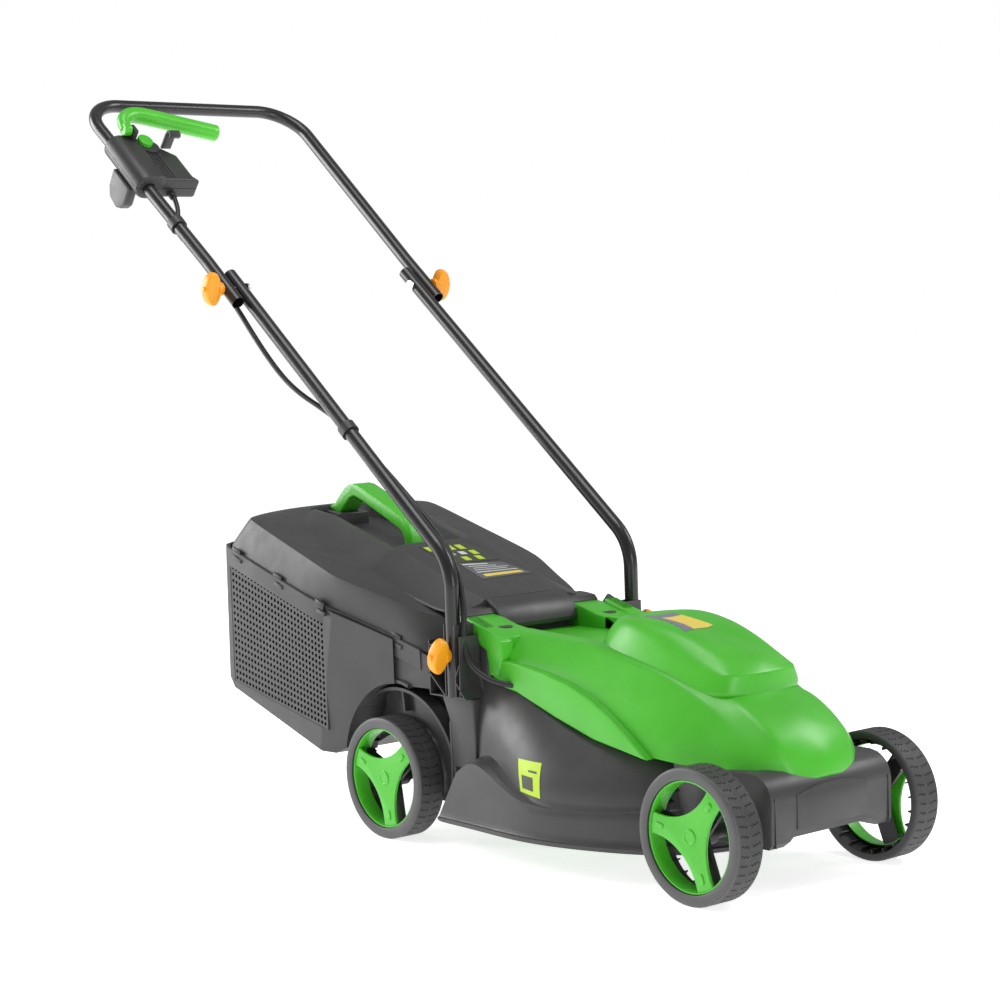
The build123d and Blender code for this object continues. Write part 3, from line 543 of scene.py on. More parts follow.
def plateOutline():  # three arms left between three round bites out of a disc
    edge = cover["outer"] - cover["wall"] + 0.2
    reach, radius = cover["windowReach"], cover["windowRadius"]
    half = acos((reach ** 2 + edge ** 2 - radius ** 2) / (2 * reach * edge))
    turn = asin(edge * sin(half) / radius)
    points = []
    for k in range(3):
        middle = pi / 2 + k * 2 * pi / 3
        for step in range(13):
            a = turn - step * 2 * turn / 12
            points.append((reach * cos(middle) - radius * cos(middle + a), reach * sin(middle)
                           - radius * sin(middle + a)))
        for step in range(1, 6):
            a = middle + half + step * (2 * pi / 3 - 2 * half) / 6
            points.append((edge * cos(a), edge * sin(a)))
    return points


def makeCover(bm):
    out, wall, face = cover["outer"], cover["wall"], cover["face"]
    turned(bm, [(cover["bottom"], out - wall - 1.2), (cover["bottom"], out - wall), (face - 2, out - 0.4),
                (face + 0.6, out), (face + 1.4, out - 0.7), (face + 1.4, out - wall + 0.4),
                (face + 0.4, out - wall),
                (face - 3, out - wall - 0.6)], 120)
    plate = bmesh.new()
    verts = prism(plate, plateOutline(), "y", face - cover["plate"] - 1, face)
    roundEdges(plate, 1.1, 3, 40)
    merge(bm, plate)
    lip = bmesh.new()
    turned(lip,
           [(cover["bottom"] + 6, 0.01), (cover["bottom"] + 6, 12.8), (face - 3, 13.5), (face - 3, 0.01)], 48)
    merge(bm, lip)
    turned(bm, [(face - 2, 0.01), (face - 2, cover["boss"]), (face + 0.7, cover["boss"] - 0.5),
                (face + 1.5, cover["boss"] - 1.4), (face + 1.5, 7.2), (face + 0.9, 6.4),
                (face + 0.9, 0.01)], 48)
    for k in range(3):
        pad = bmesh.new()
        made = bmesh.ops.create_cube(pad, size=1.0)["verts"]
        bmesh.ops.scale(pad, verts=made, vec=(12.5, 3.2, 6.0))
        bmesh.ops.translate(pad, verts=made, vec=(cover["padReach"], face, 0))
        upright = [e for e in pad.edges if abs(e.verts[0].co.y - e.verts[1].co.y) > 1]
        bmesh.ops.bevel(pad, geom=upright, offset=2.8, affect="EDGES", segments=5, profile=0.5, material=-1)
        top = [e for e in pad.edges if all(v.co.y > face + 1 for v in e.verts) and len(e.link_faces) == 2
               and e.calc_face_angle() > radians(60)]
        bmesh.ops.bevel(pad, geom=top, offset=0.8, affect="EDGES", segments=2, profile=0.5, material=-1)
        bmesh.ops.rotate(pad, verts=pad.verts, cent=(0, 0, 0),
                         matrix=Matrix.Rotation(pi / 2 + k * 2 * pi / 3, 3, "Y"))
        merge(bm, pad)


def merge(bm, other):  # adds another shell to this one
    mesh = bpy.data.meshes.new("part")
    other.to_mesh(mesh)
    other.free()
    bm.from_mesh(mesh)
    bpy.data.meshes.remove(mesh)


def makeWheels():
    for end, x, track, turn in (("front", 0.0, 348.0, -21), ("rear", -556.0, 364.0, -9)):
        for sideName, side in (("left", 1), ("right", -1)):
            body = "wheel_" + end + "_" + sideName
            label = end + sideName.capitalize()
            tyre = bmesh.new()
            makeTyre(tyre)
            placeWheel(tyre, side, x, track)
            obj = finishPiece(tyre, label + "Tyre", "tyreTreadVinyl", body, [end + "_" + sideName + "_wheel"],
                              35)
            obj.data.materials.append(material["tyreSidewallVinyl"])
            faceY = (side * track / 2) * mm
            for polygon in obj.data.polygons:
                polygon.material_index = 1 if abs(polygon.center.y - faceY) < 3.0 * mm else 0
            inside = bmesh.new()
            makeWheelInside(inside)
            spin = Matrix.Rotation(radians(turn), 3, "Y")
            bmesh.ops.rotate(inside, verts=inside.verts, cent=(0, 0, 0), matrix=spin)
            placeWheel(inside, side, x, track)
            finishPiece(inside, label + "WheelWeb", "nylonDark", body, [])
            coverShape = bmesh.new()
            makeCover(coverShape)
            bmesh.ops.rotate(coverShape, verts=coverShape.verts, cent=(0, 0, 0), matrix=spin)
            placeWheel(coverShape, side, x, track)
            finishPiece(coverShape, label + "WheelCover", "absGreenGloss", body,
                        [end + "_" + sideName + "_wheel_cover"], 30)


makeWheels()
print("wheels ready")


# Motor hood

hoodPanels = {  # half sections at x: seat, side, shoulder, roof edge, roof middle as (y, z)
    -386: [(128, 223), (126, 250), (92, 279), (60, 280), (0, 280)],
    -340: [(128, 212), (125, 245), (89, 276), (60, 278), (0, 278)],
    -290: [(128, 194), (124, 238), (86, 273), (60, 276), (0, 277)],
    -245: [(127, 179), (123, 228), (86, 270), (60, 273), (0, 274)],
    -199: [(127, 165), (121, 215), (86, 263), (60, 267), (0, 269)],
    -150: [(124, 156), (118, 203), (86, 253), (60, 259), (0, 262)],
    -108: [(120, 151), (114, 192), (85, 241), (60, 249), (0, 253)],
    -68: [(114, 147), (108, 181), (83, 224), (60, 236), (0, 242)],
    -35: [(109, 147), (102, 174), (81, 204), (62, 224), (0, 231)],
    0: [(102, 147), (96, 166), (82, 184), (62, 205), (0, 216)],
    28: [(86, 146), (83, 158), (76, 169), (60, 184), (0, 198)],
    42: [(68, 138), (66, 147), (63, 155), (57, 165), (0, 177)],
    51: [(58, 129), (57, 133), (55, 138), (51, 144), (0, 157)],
    54: [(53, 121), (53, 124), (52, 126), (49, 129), (0, 138)],
}
hoodBow = {28: 3, 42: 8, 51: 12, 54: 12}  # how far the nose sections stand forward in the middle
hoodSkirtBand = [(-374, 214), (-366, 246), (-330, 243), (-290, 237), (-245, 227), (-205, 212), (-172, 194),
                 (-140, 173), (-108, 149), (-199, 164), (-267, 184), (-340, 209)]
# from the foot of the bulge up to its crown, each from the rear middle round to the front middle
bulgeRings = [
    [(-290, 0, 250), (-276, 42, 250), (-243, 76, 250), (-196, 85, 240), (-128, 85, 226), (-78, 82, 212),
     (-46, 70, 212), (-35, 60, 212), (-27, 30, 206), (-24, 0, 205)],
    [(-289, 0, 273), (-277, 40, 272), (-244, 75, 267), (-196, 83.5, 260), (-128, 83.5, 244), (-76, 80, 229),
     (-46, 70, 229), (-36, 60, 230), (-28, 30, 226), (-25, 0, 224)],
    [(-268, 0, 296), (-258, 36, 297), (-222, 64, 300), (-184, 71, 291), (-128, 71, 275), (-80, 69, 256),
     (-49, 63, 249), (-38, 54, 247), (-30, 28, 247), (-27, 0, 247)],
    [(-256, 0, 301), (-246, 32, 302), (-210, 58, 304), (-178, 62, 300), (-130, 62, 287), (-84, 61, 266),
     (-54, 55, 255), (-44, 47, 252), (-36, 25, 253), (-33, 0, 253)],
    [(-226, 0, 305), (-214, 24, 305), (-196, 40, 306), (-172, 45, 305), (-142, 46, 302), (-110, 43, 295),
     (-84, 38, 282), (-68, 30, 273), (-58, 16, 270), (-54, 0, 270)],
]
ear = {"inner": 68, "outer": 116, "rear": -455, "front": -372, "floor": 262,
       "side": [(-455, 262), (-455, 293.5), (-430, 290), (-404, 282.5), (-380, 279), (-368, 274),
                (-368, 262)]}
strap = {"inner": 112, "outer": 132.5,
         "side": [(-432, 296), (-432, 279), (-406, 267), (-393, 256), (-388, 226), (-371, 225), (-362, 250),
                  (-365, 270), (-378, 280), (-398, 285)]}


def makeHood():
    body = bmesh.new()
    sections = []
    for x, half in hoodPanels.items():
        ring = [(x + hoodBow.get(x, 0) * (1 - (y / half[0][0]) ** 2), y, z) for y, z in half]
        sections.append(mirrored(ring) + [(x, -half[0][0] + 14, half[0][1]),
                                          (x, half[0][0] - 14, half[0][1])])
    loft(body, sections)
    creaseEdges(body, lambda a, b: abs(a.x - b.x) > 3 and abs(abs(a.y) - hoodLine(a.x, 2)[0]) < 0.5
                and abs(a.z - hoodLine(a.x, 2)[1]) < 0.5 and abs(b.z - hoodLine(b.x, 2)[1]) < 0.5
                and a.x < 10 and b.x < 10, 0.85)
    creaseEdges(body, lambda a, b: abs(a.x - b.x) > 3 and abs(a.z - hoodLine(a.x, 3)[1]) < 0.5
                and abs(b.z - hoodLine(b.x, 3)[1]) < 0.5 and a.x > -40 and b.x > -40, 0.85)
    creaseEdges(body, lambda a, b: all(abs(p.z - hoodLine(p.x, 0)[1]) < 0.5 for p in (a, b)), 1.0)
    creaseEdges(body, lambda a, b: max(a.x, b.x) < -385 or (min(a.x, b.x) > 53.5 and max(a.z, b.z) < 139),
                0.9)
    body = subdivided(body, 3)
    bulge = bmesh.new()
    loft(bulge, [mirroredRing(ring) for ring in bulgeRings])
    creaseEdges(bulge, lambda a, b: all(p.x > -52 and 246 < p.z < 250 for p in (a, b)), 0.8)
    bulge = subdivided(bulge, 3)
    trough = bmesh.new()
    prism(trough, [(-ear["inner"], 340), (-ear["inner"], ear["floor"]), (ear["inner"], ear["floor"]),
                   (ear["inner"], 340)], "x", -480, -240)
    body = cut(body, trough)
    front = bmesh.new()
    block(front, -456, -236, -ear["inner"] - 2, ear["inner"] + 2, ear["floor"] - 6, ear["floor"] + 1)
    extras = [front]
    for side in (1, -1):
        for outline, inner, outer in ((hoodSkirtBand, 96, 131),
                                      (strap["side"], strap["inner"], strap["outer"]),
                                      (ear["side"], ear["inner"], ear["outer"]),
                                      ([(-432, 279), (-432, 296), (-398, 285), (-378, 279), (-368, 262),
                                        (-390, 255),
                                        (-406, 262)], ear["outer"] - 6, strap["outer"] - 1)):
            piece = bmesh.new()
            prism(piece, outline, "y", min(side * inner, side * outer), max(side * inner, side * outer))
            roundEdges(piece, 1.8, 3, 25)
            extras.append(piece)
    for one in extras + [bulge]:
        merge(body, one)
    return body


def hoodLine(x, index):  # the named line's (y, z) at the section nearest to x
    nearest = min(hoodPanels, key=lambda value: abs(value - x))
    return hoodPanels[nearest][index]


def mirroredRing(half):  # rear middle, the left side, front middle, then the right side back again
    return list(half) + [(x, -y, z) for x, y, z in reversed(half[1:-1])]


hoodShape = makeHood()
hoodTree = BVHTree.FromBMesh(hoodShape)
finishPiece(hoodShape, "motorHood", "absGreen", "deck", ["motor_hood"], 38)
print("hood ready")


for side, name in ((1, "Left"), (-1, "Right")):
    cap = bmesh.new()
    rod(cap, (-404, side * 91, 272), (-404, side * 91, 283.2), 10.8, 10.6, 48)
    roundEdges(cap, 1.6, 4, 40)
    finishPiece(cap, "hoodScrewCap" + name, "polypropyleneBlack", "deck", ["hood_screw_caps"])


# Deck

# stations round the left half, rear to front: skirt x, skirt y, crease height, step, hood seat y, hood seat z
deck = {
    "stations": [(-447, 175, 104, 27, 127, 228), (-418, 176, 113, 27, 127, 224),
                 (-378, 178, 127, 26, 127, 217),
                 (-330, 182, 105, 18, 127, 205), (-285, 185, 86, 8, 126, 190), (-245, 182, 81, 4, 125, 177),
                 (-204, 174, 80, 3, 123, 166), (-160, 160, 82, 3, 119, 157), (-118, 143, 86, 3, 112, 150),
                 (-88, 122, 88, 3, 100, 147), (-66, 98, 90, 3, 80, 147), (-50, 66, 90, 3, 54, 147),
                 (-42, 33, 90, 3, 27, 147), (-40, 0, 90, 3, 0, 147)],
    "bottom": 38.0, "lip": 3.2, "lipHeight": 5.0, "wall": 3.0,
    "lean": {"crease": (33, 16, 3), "ledge": (33, 16, 3), "wall": (28, 12, 2), "shoulder": (14, 6, 0)},
}


def deckRing(kind):
    stations = deck["stations"]
    lean = deck["lean"].get(kind, (0, 0, 0))
    ring = []
    for k, (x, y, crease, step, seatY, seatZ) in enumerate(stations):
        before, after = stations[max(k - 1, 0)], stations[min(k + 1, len(stations) - 1)]
        along = Vector((after[0] - before[0], after[1] - before[1])).normalized()
        if y == 0:
            along = Vector((0, -1))
        out = Vector((-along.y, along.x))
        full = (y - seatY) / max(out.y, 0.5) if y > 90 else 26.0
        inset, z = {
            "lipBottom": (-deck["lip"], deck["bottom"]),
            "lipTop": (-deck["lip"], deck["bottom"] + deck["lipHeight"]),
            "skirtFoot": (0, deck["bottom"] + deck["lipHeight"] + 1.2),
            "crease": (3.0, crease),
            "ledge": (3.0 + step, crease + 2.5 + step * 0.12),
            "wall": (5.0 + step, crease + 0.42 * (seatZ - crease)),
            "shoulder": (0.45 * (5 + step) + 0.55 * full, seatZ - 0.20 * (seatZ - crease)),
            "seat": (full, seatZ),
            "under": (full + 16, seatZ),
        }[kind]
        place = Vector((x, y)) - out * inset
        ring.append(((place.x if k else x) + (lean[k] if k < 3 else 0), max(place.y, 0) if y else 0.0, z))
    return ring


def makeDeckShell():
    names = ["lipBottom", "lipTop", "skirtFoot", "crease", "ledge", "wall", "shoulder", "seat", "under"]
    bm = bmesh.new()
    sections = [mirrored(deckRing(kind)) for kind in names]
    loft(bm, sections, capFirst=False, capLast=False, closed=False)
    for kind, amount in (("lipBottom", 1.0), ("lipTop", 1.0), ("skirtFoot", 0.9), ("crease", 0.95),
                         ("ledge", 0.8),
                         ("seat", 0.8)):
        points = [Vector(p) for p in mirrored(deckRing(kind))]
        creaseEdges(bm, lambda a, b: any((a - p).length < 0.01 for p in points)
                    and any((b - p).length < 0.01 for p in points), amount)
    bmesh.ops.recalc_face_normals(bm, faces=bm.faces)
    return evaluated(bm, [("SUBSURF", {"levels": 2, "render_levels": 2}),
                          ("SOLIDIFY", {"thickness": deck["wall"], "offset": -1.0, "use_even_offset": True})])


def makeBeam():  # the cross member in front, stepped down beside the wheels
    side = bmesh.new()
    prism(side,
          [(-90, 62), (60, 62), (65, 68), (66, 116), (64, 126), (60, 134), (54, 140), (46, 145), (34, 147.5),
                 (-90, 147.5)], "y", -104, 104)
    front = bmesh.new()
    prism(front, [(-104, 61), (-81, 61), (-67, 72), (67, 72), (81, 61), (104, 61), (104, 148), (-104, 148)],
          "x", -95, 70)
    beam = common(side, front)
    roundEdges(beam, 3.0, 3, 35)
    panel = bmesh.new()  # shallow raised field with an arched top on the front face
    arch = [(y, 128 - 8 * (y / 62) ** 2) for y in range(-62, 63, 4)]
    prism(panel, [(-62, 80)] + arch + [(62, 80)], "x", 62, 66.9)
    roundEdges(panel, 0.8, 2, 40)
    merge(beam, panel)
    for y in (-98, 98):  # the end strips' seams
        seam = bmesh.new()
        block(seam, 30, 66.6, y - 0.7, y + 0.7, 64, 120)
        merge(beam, seam)
    return beam


pillar = {"outer": 168.0, "inner": 128.0, "rear": -471.0, "front": -404.0, "shelf": 198.0, "top": 300.0,
          "rib": 1.6,
          "foot": -428.0}


def rib(bm, x0, z0, x1, z1, y0, y1, thick):  # a straight web between two points of the side view
    a, b = Vector((x0, 0, z0)), Vector((x1, 0, z1))
    made = bmesh.ops.create_cube(bm, size=1.0)["verts"]
    bmesh.ops.scale(bm, verts=made, vec=((b - a).length, y1 - y0, thick))
    bmesh.ops.rotate(bm, verts=made, cent=(0, 0, 0), matrix=Matrix.Rotation(-atan2(z1 - z0, x1 - x0), 3, "Y"))
    bmesh.ops.translate(bm, verts=made, vec=((x0 + x1) / 2, (y0 + y1) / 2, (z0 + z1) / 2))


def makePillar(bm):  # left-hand tower: a back wall, a shelf under the tube and webs round it
    p = pillar
    back = bmesh.new()
    prism(back, [(p["rear"], 190), (p["rear"] + 20, 158), (p["rear"] + 22, 110), (p["front"] + 4, 110),
                 (p["front"] + 4, 206), (p["front"] - 12, 262), (p["front"] - 18, 290), (-446, p["top"]),
                 (p["rear"], 272)], "y",
          p["inner"], p["inner"] + 5)
    roundEdges(back, 1.2, 2, 35)
    merge(bm, back)
    base = bmesh.new()
    prism(base, [(p["rear"] + 6, 196), (p["rear"] + 22, 160), (p["rear"] + 24, 104), (p["front"] + 6, 104),
                 (p["front"] + 2, 196)], "y", p["inner"], p["inner"] + 22)
    roundEdges(base, 3, 3, 35)
    merge(bm, base)
    y0, y1, foot = p["inner"] + 3, p["outer"] - 4, p["foot"]
    for x0, z0, x1, z1 in ((p["rear"], p["shelf"], p["front"] + 4, p["shelf"]), (p["rear"] + 1, p["shelf"],
                           p["rear"] + 1, 268), (p["rear"], 232, foot - 11, 232),
                           (p["rear"], 262, foot - 11, 262),
                           (p["front"] - 6, p["shelf"], p["front"] - 4, 276),
                           (foot + 11, 226, p["front"] - 6, 240),
                           (foot - 11, p["shelf"], p["rear"], 226),
                           (foot + 11, p["shelf"] + 18, p["front"] + 2,
                           p["shelf"]), (foot - 10, p["shelf"], foot - 10, 290),
                           (foot + 10, p["shelf"], foot + 10, 290)):
        rib(bm, x0, z0, x1, z1, y0, y1 if z0 < 280 else y1 - 10, p["rib"])


# rounded black cheek that the lead runs round, between the pillar and the hood's ear
def makeEarPanel(bm, side):
    panel = bmesh.new()
    prism(panel,
          [(-453, 222), (-453, 284), (-434, 277), (-410, 267), (-399, 259), (-395, 248), (-391, 222)], "y",
          side * 90, side * 129)
    roundEdges(panel, 4.5, 4, 30)
    merge(bm, panel)


fender = {"radius": 112.0, "wall": 2.6, "inner": 126.0, "outer": 149.0, "from": -8.0, "to": 128.0,
          "x": -556.0}


def makeFender(bm, side):  # curved guard over the rear wheel, with a flange at its free edge
    r, wall, steps = fender["radius"], fender["wall"], 40
    guard = bmesh.new()
    profile = [(fender["inner"], r), (fender["outer"], r), (fender["outer"], r + wall + 1.6),
               (fender["outer"] - 2, r + wall + 1.6), (fender["outer"] - 2.6, r + wall),
               (fender["inner"], r + wall)]
    verts = [guard.verts.new((radius, y, 0)) for y, radius in profile]
    face = guard.faces.new(verts)
    bmesh.ops.spin(guard, geom=[face] + list(face.edges) + verts, cent=(0, 0, 0), axis=(0, -1, 0),
                   angle=radians(fender["to"] - fender["from"]), steps=steps, use_merge=False)
    bmesh.ops.rotate(guard, verts=guard.verts, cent=(0, 0, 0),
                     matrix=Matrix.Rotation(-radians(fender["from"]), 3, "Y"))
    bmesh.ops.translate(guard, verts=guard.verts, vec=(fender["x"], 0, 80))
    rib(guard, -556, 192.5, -552, 164, fender["inner"] - 2, fender["outer"] - 6, 3.0)
    plate = bmesh.new()
    arc = [(fender["x"] + (r + 1) * cos(radians(a)),
            wheel["radius"] + (r + 1) * sin(radians(a))) for a in range(-14, 117, 6)]
    prism(plate,
          [(-436, 52)] + arc + [(-602, 178), (-602, 132), (-562, 118), (-562, 74), (-550, 74), (-550, 60),
                                       (-520, 52)], "y", fender["inner"], fender["inner"] + 8)
    slot = bmesh.new()
    block(slot, -561.3, -550.7, 100, 160, 0, 105.3)
    plate = cut(plate, slot)
    roundEdges(plate, 1.0, 2, 35)
    merge(guard, plate)
    if side < 0:
        bmesh.ops.scale(guard, verts=guard.verts, vec=(1, -1, 1))
    merge(bm, guard)


def makeRearWall(bm):  # frame round the throat that the grass box's mouth meets
    wall = bmesh.new()
    prism(wall,
          [(-150, 60), (-150, 160), (-128, 226), (128, 226), (150, 160), (150, 60), (104, 60), (104, 214),
                 (-104, 214), (-104, 60)], "x", -451, -447)
    roundEdges(wall, 0.8, 2, 35)
    merge(bm, wall)


deckShape = makeDeckShell()
deckTree = BVHTree.FromBMesh(deckShape)
finishPiece(deckShape, "deckShell", "polypropyleneBlack", "deck", ["deck_housing"], 40)
finishPiece(makeBeam(), "deckBeam", "polypropyleneBlack", "deck", [])
fittings = bmesh.new()
makeRearWall(fittings)
for side in (1, -1):
    tower = bmesh.new()
    makePillar(tower)
    if side < 0:
        bmesh.ops.scale(tower, verts=tower.verts, vec=(1, -1, 1))
    merge(fittings, tower)
    makeEarPanel(fittings, side)
    makeFender(fittings, side)
finishPiece(fittings, "deckTowersAndFenders", "polypropyleneBlack", "deck", [])
print("deck ready")


# Grass box

box = {"wall": 2.5, "half": 182.0, "rimRear": 370.0, "rimSlope": -0.3139, "rearX": -901.0, "wellLong": 92.0,
       "wellHigh": 122.0}


def rimZ(x):
    return box["rimRear"] + box["rimSlope"] * (x - box["rearX"])


def boxPlan(z):  # half outline seen from above; the front corner leans forward as it rises
    corner = -699 + 0.2 * (z - 60)
    return [(-906, box["half"]), (corner, box["half"]), (corner + 66, 166), (-560, 151), (-492, 146),
            (-492, 118),
            (-459, 118)]


def inset(points, amount):  # a closed flat outline moved inwards, corners kept
    area = sum(a[0] * b[1] - b[0] * a[1] for a, b in zip(points, points[1:] + points[:1]))
    out = []
    for k, point in enumerate(points):
        before, here, after = (Vector(p) for p in (points[k - 1], point, points[(k + 1) % len(points)]))
        one, two = (here - before).normalized(), (after - here).normalized()
        normal = Vector((-one.y - two.y, one.x + two.x)).normalized() * (1 if area > 0 else -1)
        share = max(abs(normal.dot(Vector((-one.y, one.x)))), 0.35)
        out.append(tuple(here + normal * amount / share))
    return out


def makeBoxForm(wall):
    top = 420 + 16 * wall  # the inner form comes out of the top of the outer one
    outline = [(-898, top), (-901.5, 184), (-891, 169), (-687, 101), (-664, 100), (-610, 126), (-500, 150),
               (-460, 155),
               (-460, top)]
    side = bmesh.new()
    prism(side, inset(outline, wall), "y", -300, 300)
    plan = bmesh.new()
    layers = []
    for z in (60, 500):
        whole = boxPlan(z) + [(x, -y) for x, y in reversed(boxPlan(z))]
        layers.append([(x, y, z) for x, y in inset(whole, wall)])
    loft(plan, layers)
    wells = []
    for y0, y1 in ((118 - wall, 300), (-300, -118 + wall)):
        well = bmesh.new()
        rod(well, (0, y0, 0), (0, y1, 0), 1.0, segments=96)
        bmesh.ops.scale(well, verts=well.verts, vec=(box["wellLong"] + wall, 1, box["wellHigh"] + wall))
        bmesh.ops.translate(well, verts=well.verts, vec=(-556, 0, 80))
        gap = bmesh.new()
        block(gap, -556, 0, y0, y1, 0, 200 + wall)
        wells += [well, gap]
    form = common(side, plan)
    bmesh.ops.dissolve_limit(form, angle_limit=radians(1), verts=form.verts, edges=form.edges)
    roundEdges(form, 9.0 - wall, 4, 9)
    return cut(form, *wells)


vent = {"columns": 28, "rows": 18, "pitch": 7.65, "firstX": -884.0, "firstDrop": 25.0, "rowPitch": 9.2,
        "margin": 6.0}


def ventCorner(column, row):
    x = vent["firstX"] + column * vent["pitch"]
    return x, rimZ(x) - vent["firstDrop"] - row * vent["rowPitch"] + column * row * 0.045


def makeBoxLower():
    shell = cut(makeBoxForm(0.0), makeBoxForm(box["wall"]))
    lastColumn, lastRow = vent["columns"] - 1, vent["rows"] - 1
    a, b, c, d = ventCorner(0, 0), ventCorner(lastColumn, 0), ventCorner(lastColumn,
                                                                         lastRow), ventCorner(0, lastRow)
    m = vent["margin"]
    cutters = []
    for y0, y1 in ((170, 190), (-190, -170)):
        window = bmesh.new()
        prism(window, [(a[0] - m, a[1] + m + 2), (b[0] + m, b[1] + m - 2), (c[0] + m, c[1] - m - 2),
                       (d[0] - m, d[1] - m + 2)],
              "y", y0, y1)
        cutters.append(window)
    mouth = bmesh.new()
    block(mouth, -480, -440, -104, 104, 158, 232)
    above = bmesh.new()
    prism(above, [(-930, rimZ(-930)), (-400, rimZ(-400)), (-400, 600), (-930, 600)], "y", -300, 300)
    return cut(shell, *cutters, mouth, above)


rim = {"height": 24.0, "lip": 3.2,
       "half": [(-905, 0), (-905, 120), (-904, 166), (-899, 179), (-888, 185), (-800, 185.4),
                                            (-700, 184.5), (-668, 181), (-628, 168.5), (-560, 153.6),
                (-508, 148)]}


def makeRimBand(bm):  # the turned-over rim that the lid snaps on
    loops = []
    for lift, out in ((-rim["height"], -1.4), (-rim["height"] + 1.2, 0.4), (-3, 0.9), (2.2, 1.4),
                      (rim["lip"], 0.4),
                      (rim["lip"], -3.4), (-rim["height"], -3.4)):
        loops.append([(x + (-out if x < -890 else 0), y + (out if y > 0 else 0), rimZ(x) + lift) for x,
                      y in rim["half"]])
    band = bmesh.new()
    rings = loft(band, [[(x, -y, z) for x, y, z in reversed(loop[1:])] + loop for loop in loops],
                 capFirst=False,
                 capLast=False, closed=False)
    bmesh.ops.bridge_loops(band, edges=rings[-1] + rings[0])
    bmesh.ops.holes_fill(band, edges=[e for e in band.edges if len(e.link_faces) == 1], sides=0)
    merge(bm, band)


def makeArchFlange(bm, side):  # rounded edge of the wheel arch
    guard = bmesh.new()
    r, outer = box["wellHigh"], 152.0
    profile = [(118, r), (outer, r), (outer + 2, r + 1.5), (outer + 2, r + 4.5), (outer, r + 6), (118, r + 3)]
    verts = [guard.verts.new((radius, y, 0)) for y, radius in profile]
    face = guard.faces.new(verts)
    bmesh.ops.spin(guard, geom=[face] + list(face.edges) + verts, cent=(0, 0, 0), axis=(0, -1, 0),
                   angle=radians(96),
                   steps=40, use_merge=False)
    bmesh.ops.rotate(guard, verts=guard.verts, cent=(0, 0, 0), matrix=Matrix.Rotation(-radians(74), 3, "Y"))
    bmesh.ops.scale(guard, verts=guard.verts, vec=(box["wellLong"] / box["wellHigh"], side, 1))
    bmesh.ops.translate(guard, verts=guard.verts, vec=(-556, 0, 80))
    merge(bm, guard)


def makeSnaps(notchShade, tongues):  # notches along the rim drawn as dark blocks: painted shade standing in for the shadow in each notch, with a tongue of the lid in each
    for x in (-868, -771, -675, -553):
        y = 185.6 if x < -640 else 152.4
        for side in (1, -1):
            for bm, (x0, x1, z0, z1, thick) in ((notchShade, (-11, 9, -4, 7.5, 0.6)),
                                                (tongues, (-3, 15, -8.5, -3.4, 2.2))):
                tab = bmesh.new()
                block(tab, x0, x1, -2.6, thick, z0, z1)
                roundEdges(tab, 0.5, 2, 40)
                bmesh.ops.rotate(tab, verts=tab.verts, cent=(0, 0, 0), matrix=Matrix.Rotation(0.304, 3, "Y"))
                bmesh.ops.scale(tab, verts=tab.verts, vec=(1, side, 1))
                bmesh.ops.translate(tab, verts=tab.verts, vec=(x, side * y, rimZ(x)))
                merge(bm, tab)


lidPlan = {  # half rings from the rear middle round the left side to the front middle
    "rim": [(-902, 0), (-902, 90), (-901, 160), (-896, 176), (-884, 182), (-780, 182.5), (-700, 182),
            (-668, 178),
            (-624, 166), (-560, 151), (-496, 146), (-491, 120), (-470, 117), (-464, 60), (-464, 0)],
    "crease": [(-897, 0, 416), (-894, 80, 414.5), (-884, 136, 411), (-872, 158, 409.5), (-858, 166, 407),
               (-780, 170, 382), (-690, 176, 354), (-648, 178, 340), (-624, 172, 333), (-571, 153, 316),
               (-520, 140, 300), (-494, 118, 291), (-484, 110, 287), (-474, 60, 285), (-474, 0, 285)],
    "brow": [(-868, 0, 421), (-866, 74, 420), (-858, 118, 415.5), (-850, 134, 412), (-842, 140, 408.5),
             (-776, 144, 386.5),
             (-690, 148, 359), (-652, 148, 346), (-634, 142, 341), (-574, 126, 320), (-524, 114, 303),
             (-504, 100, 296),
             (-496, 90, 293), (-490, 50, 290), (-490, 0, 290)],
}


def lidTop(x):  # the lid's top surface along the middle
    return 421 + (x + 868) * (290 - 421) / (868 - 490)


hump = {"rear": -866.0, "front": -626.0, "base": 123.0, "top": 78.0, "rise": 19.0, "recess": 66.0,
        "well": -878.0,
        "floorRear": 396.0, "floorSlope": -0.195}


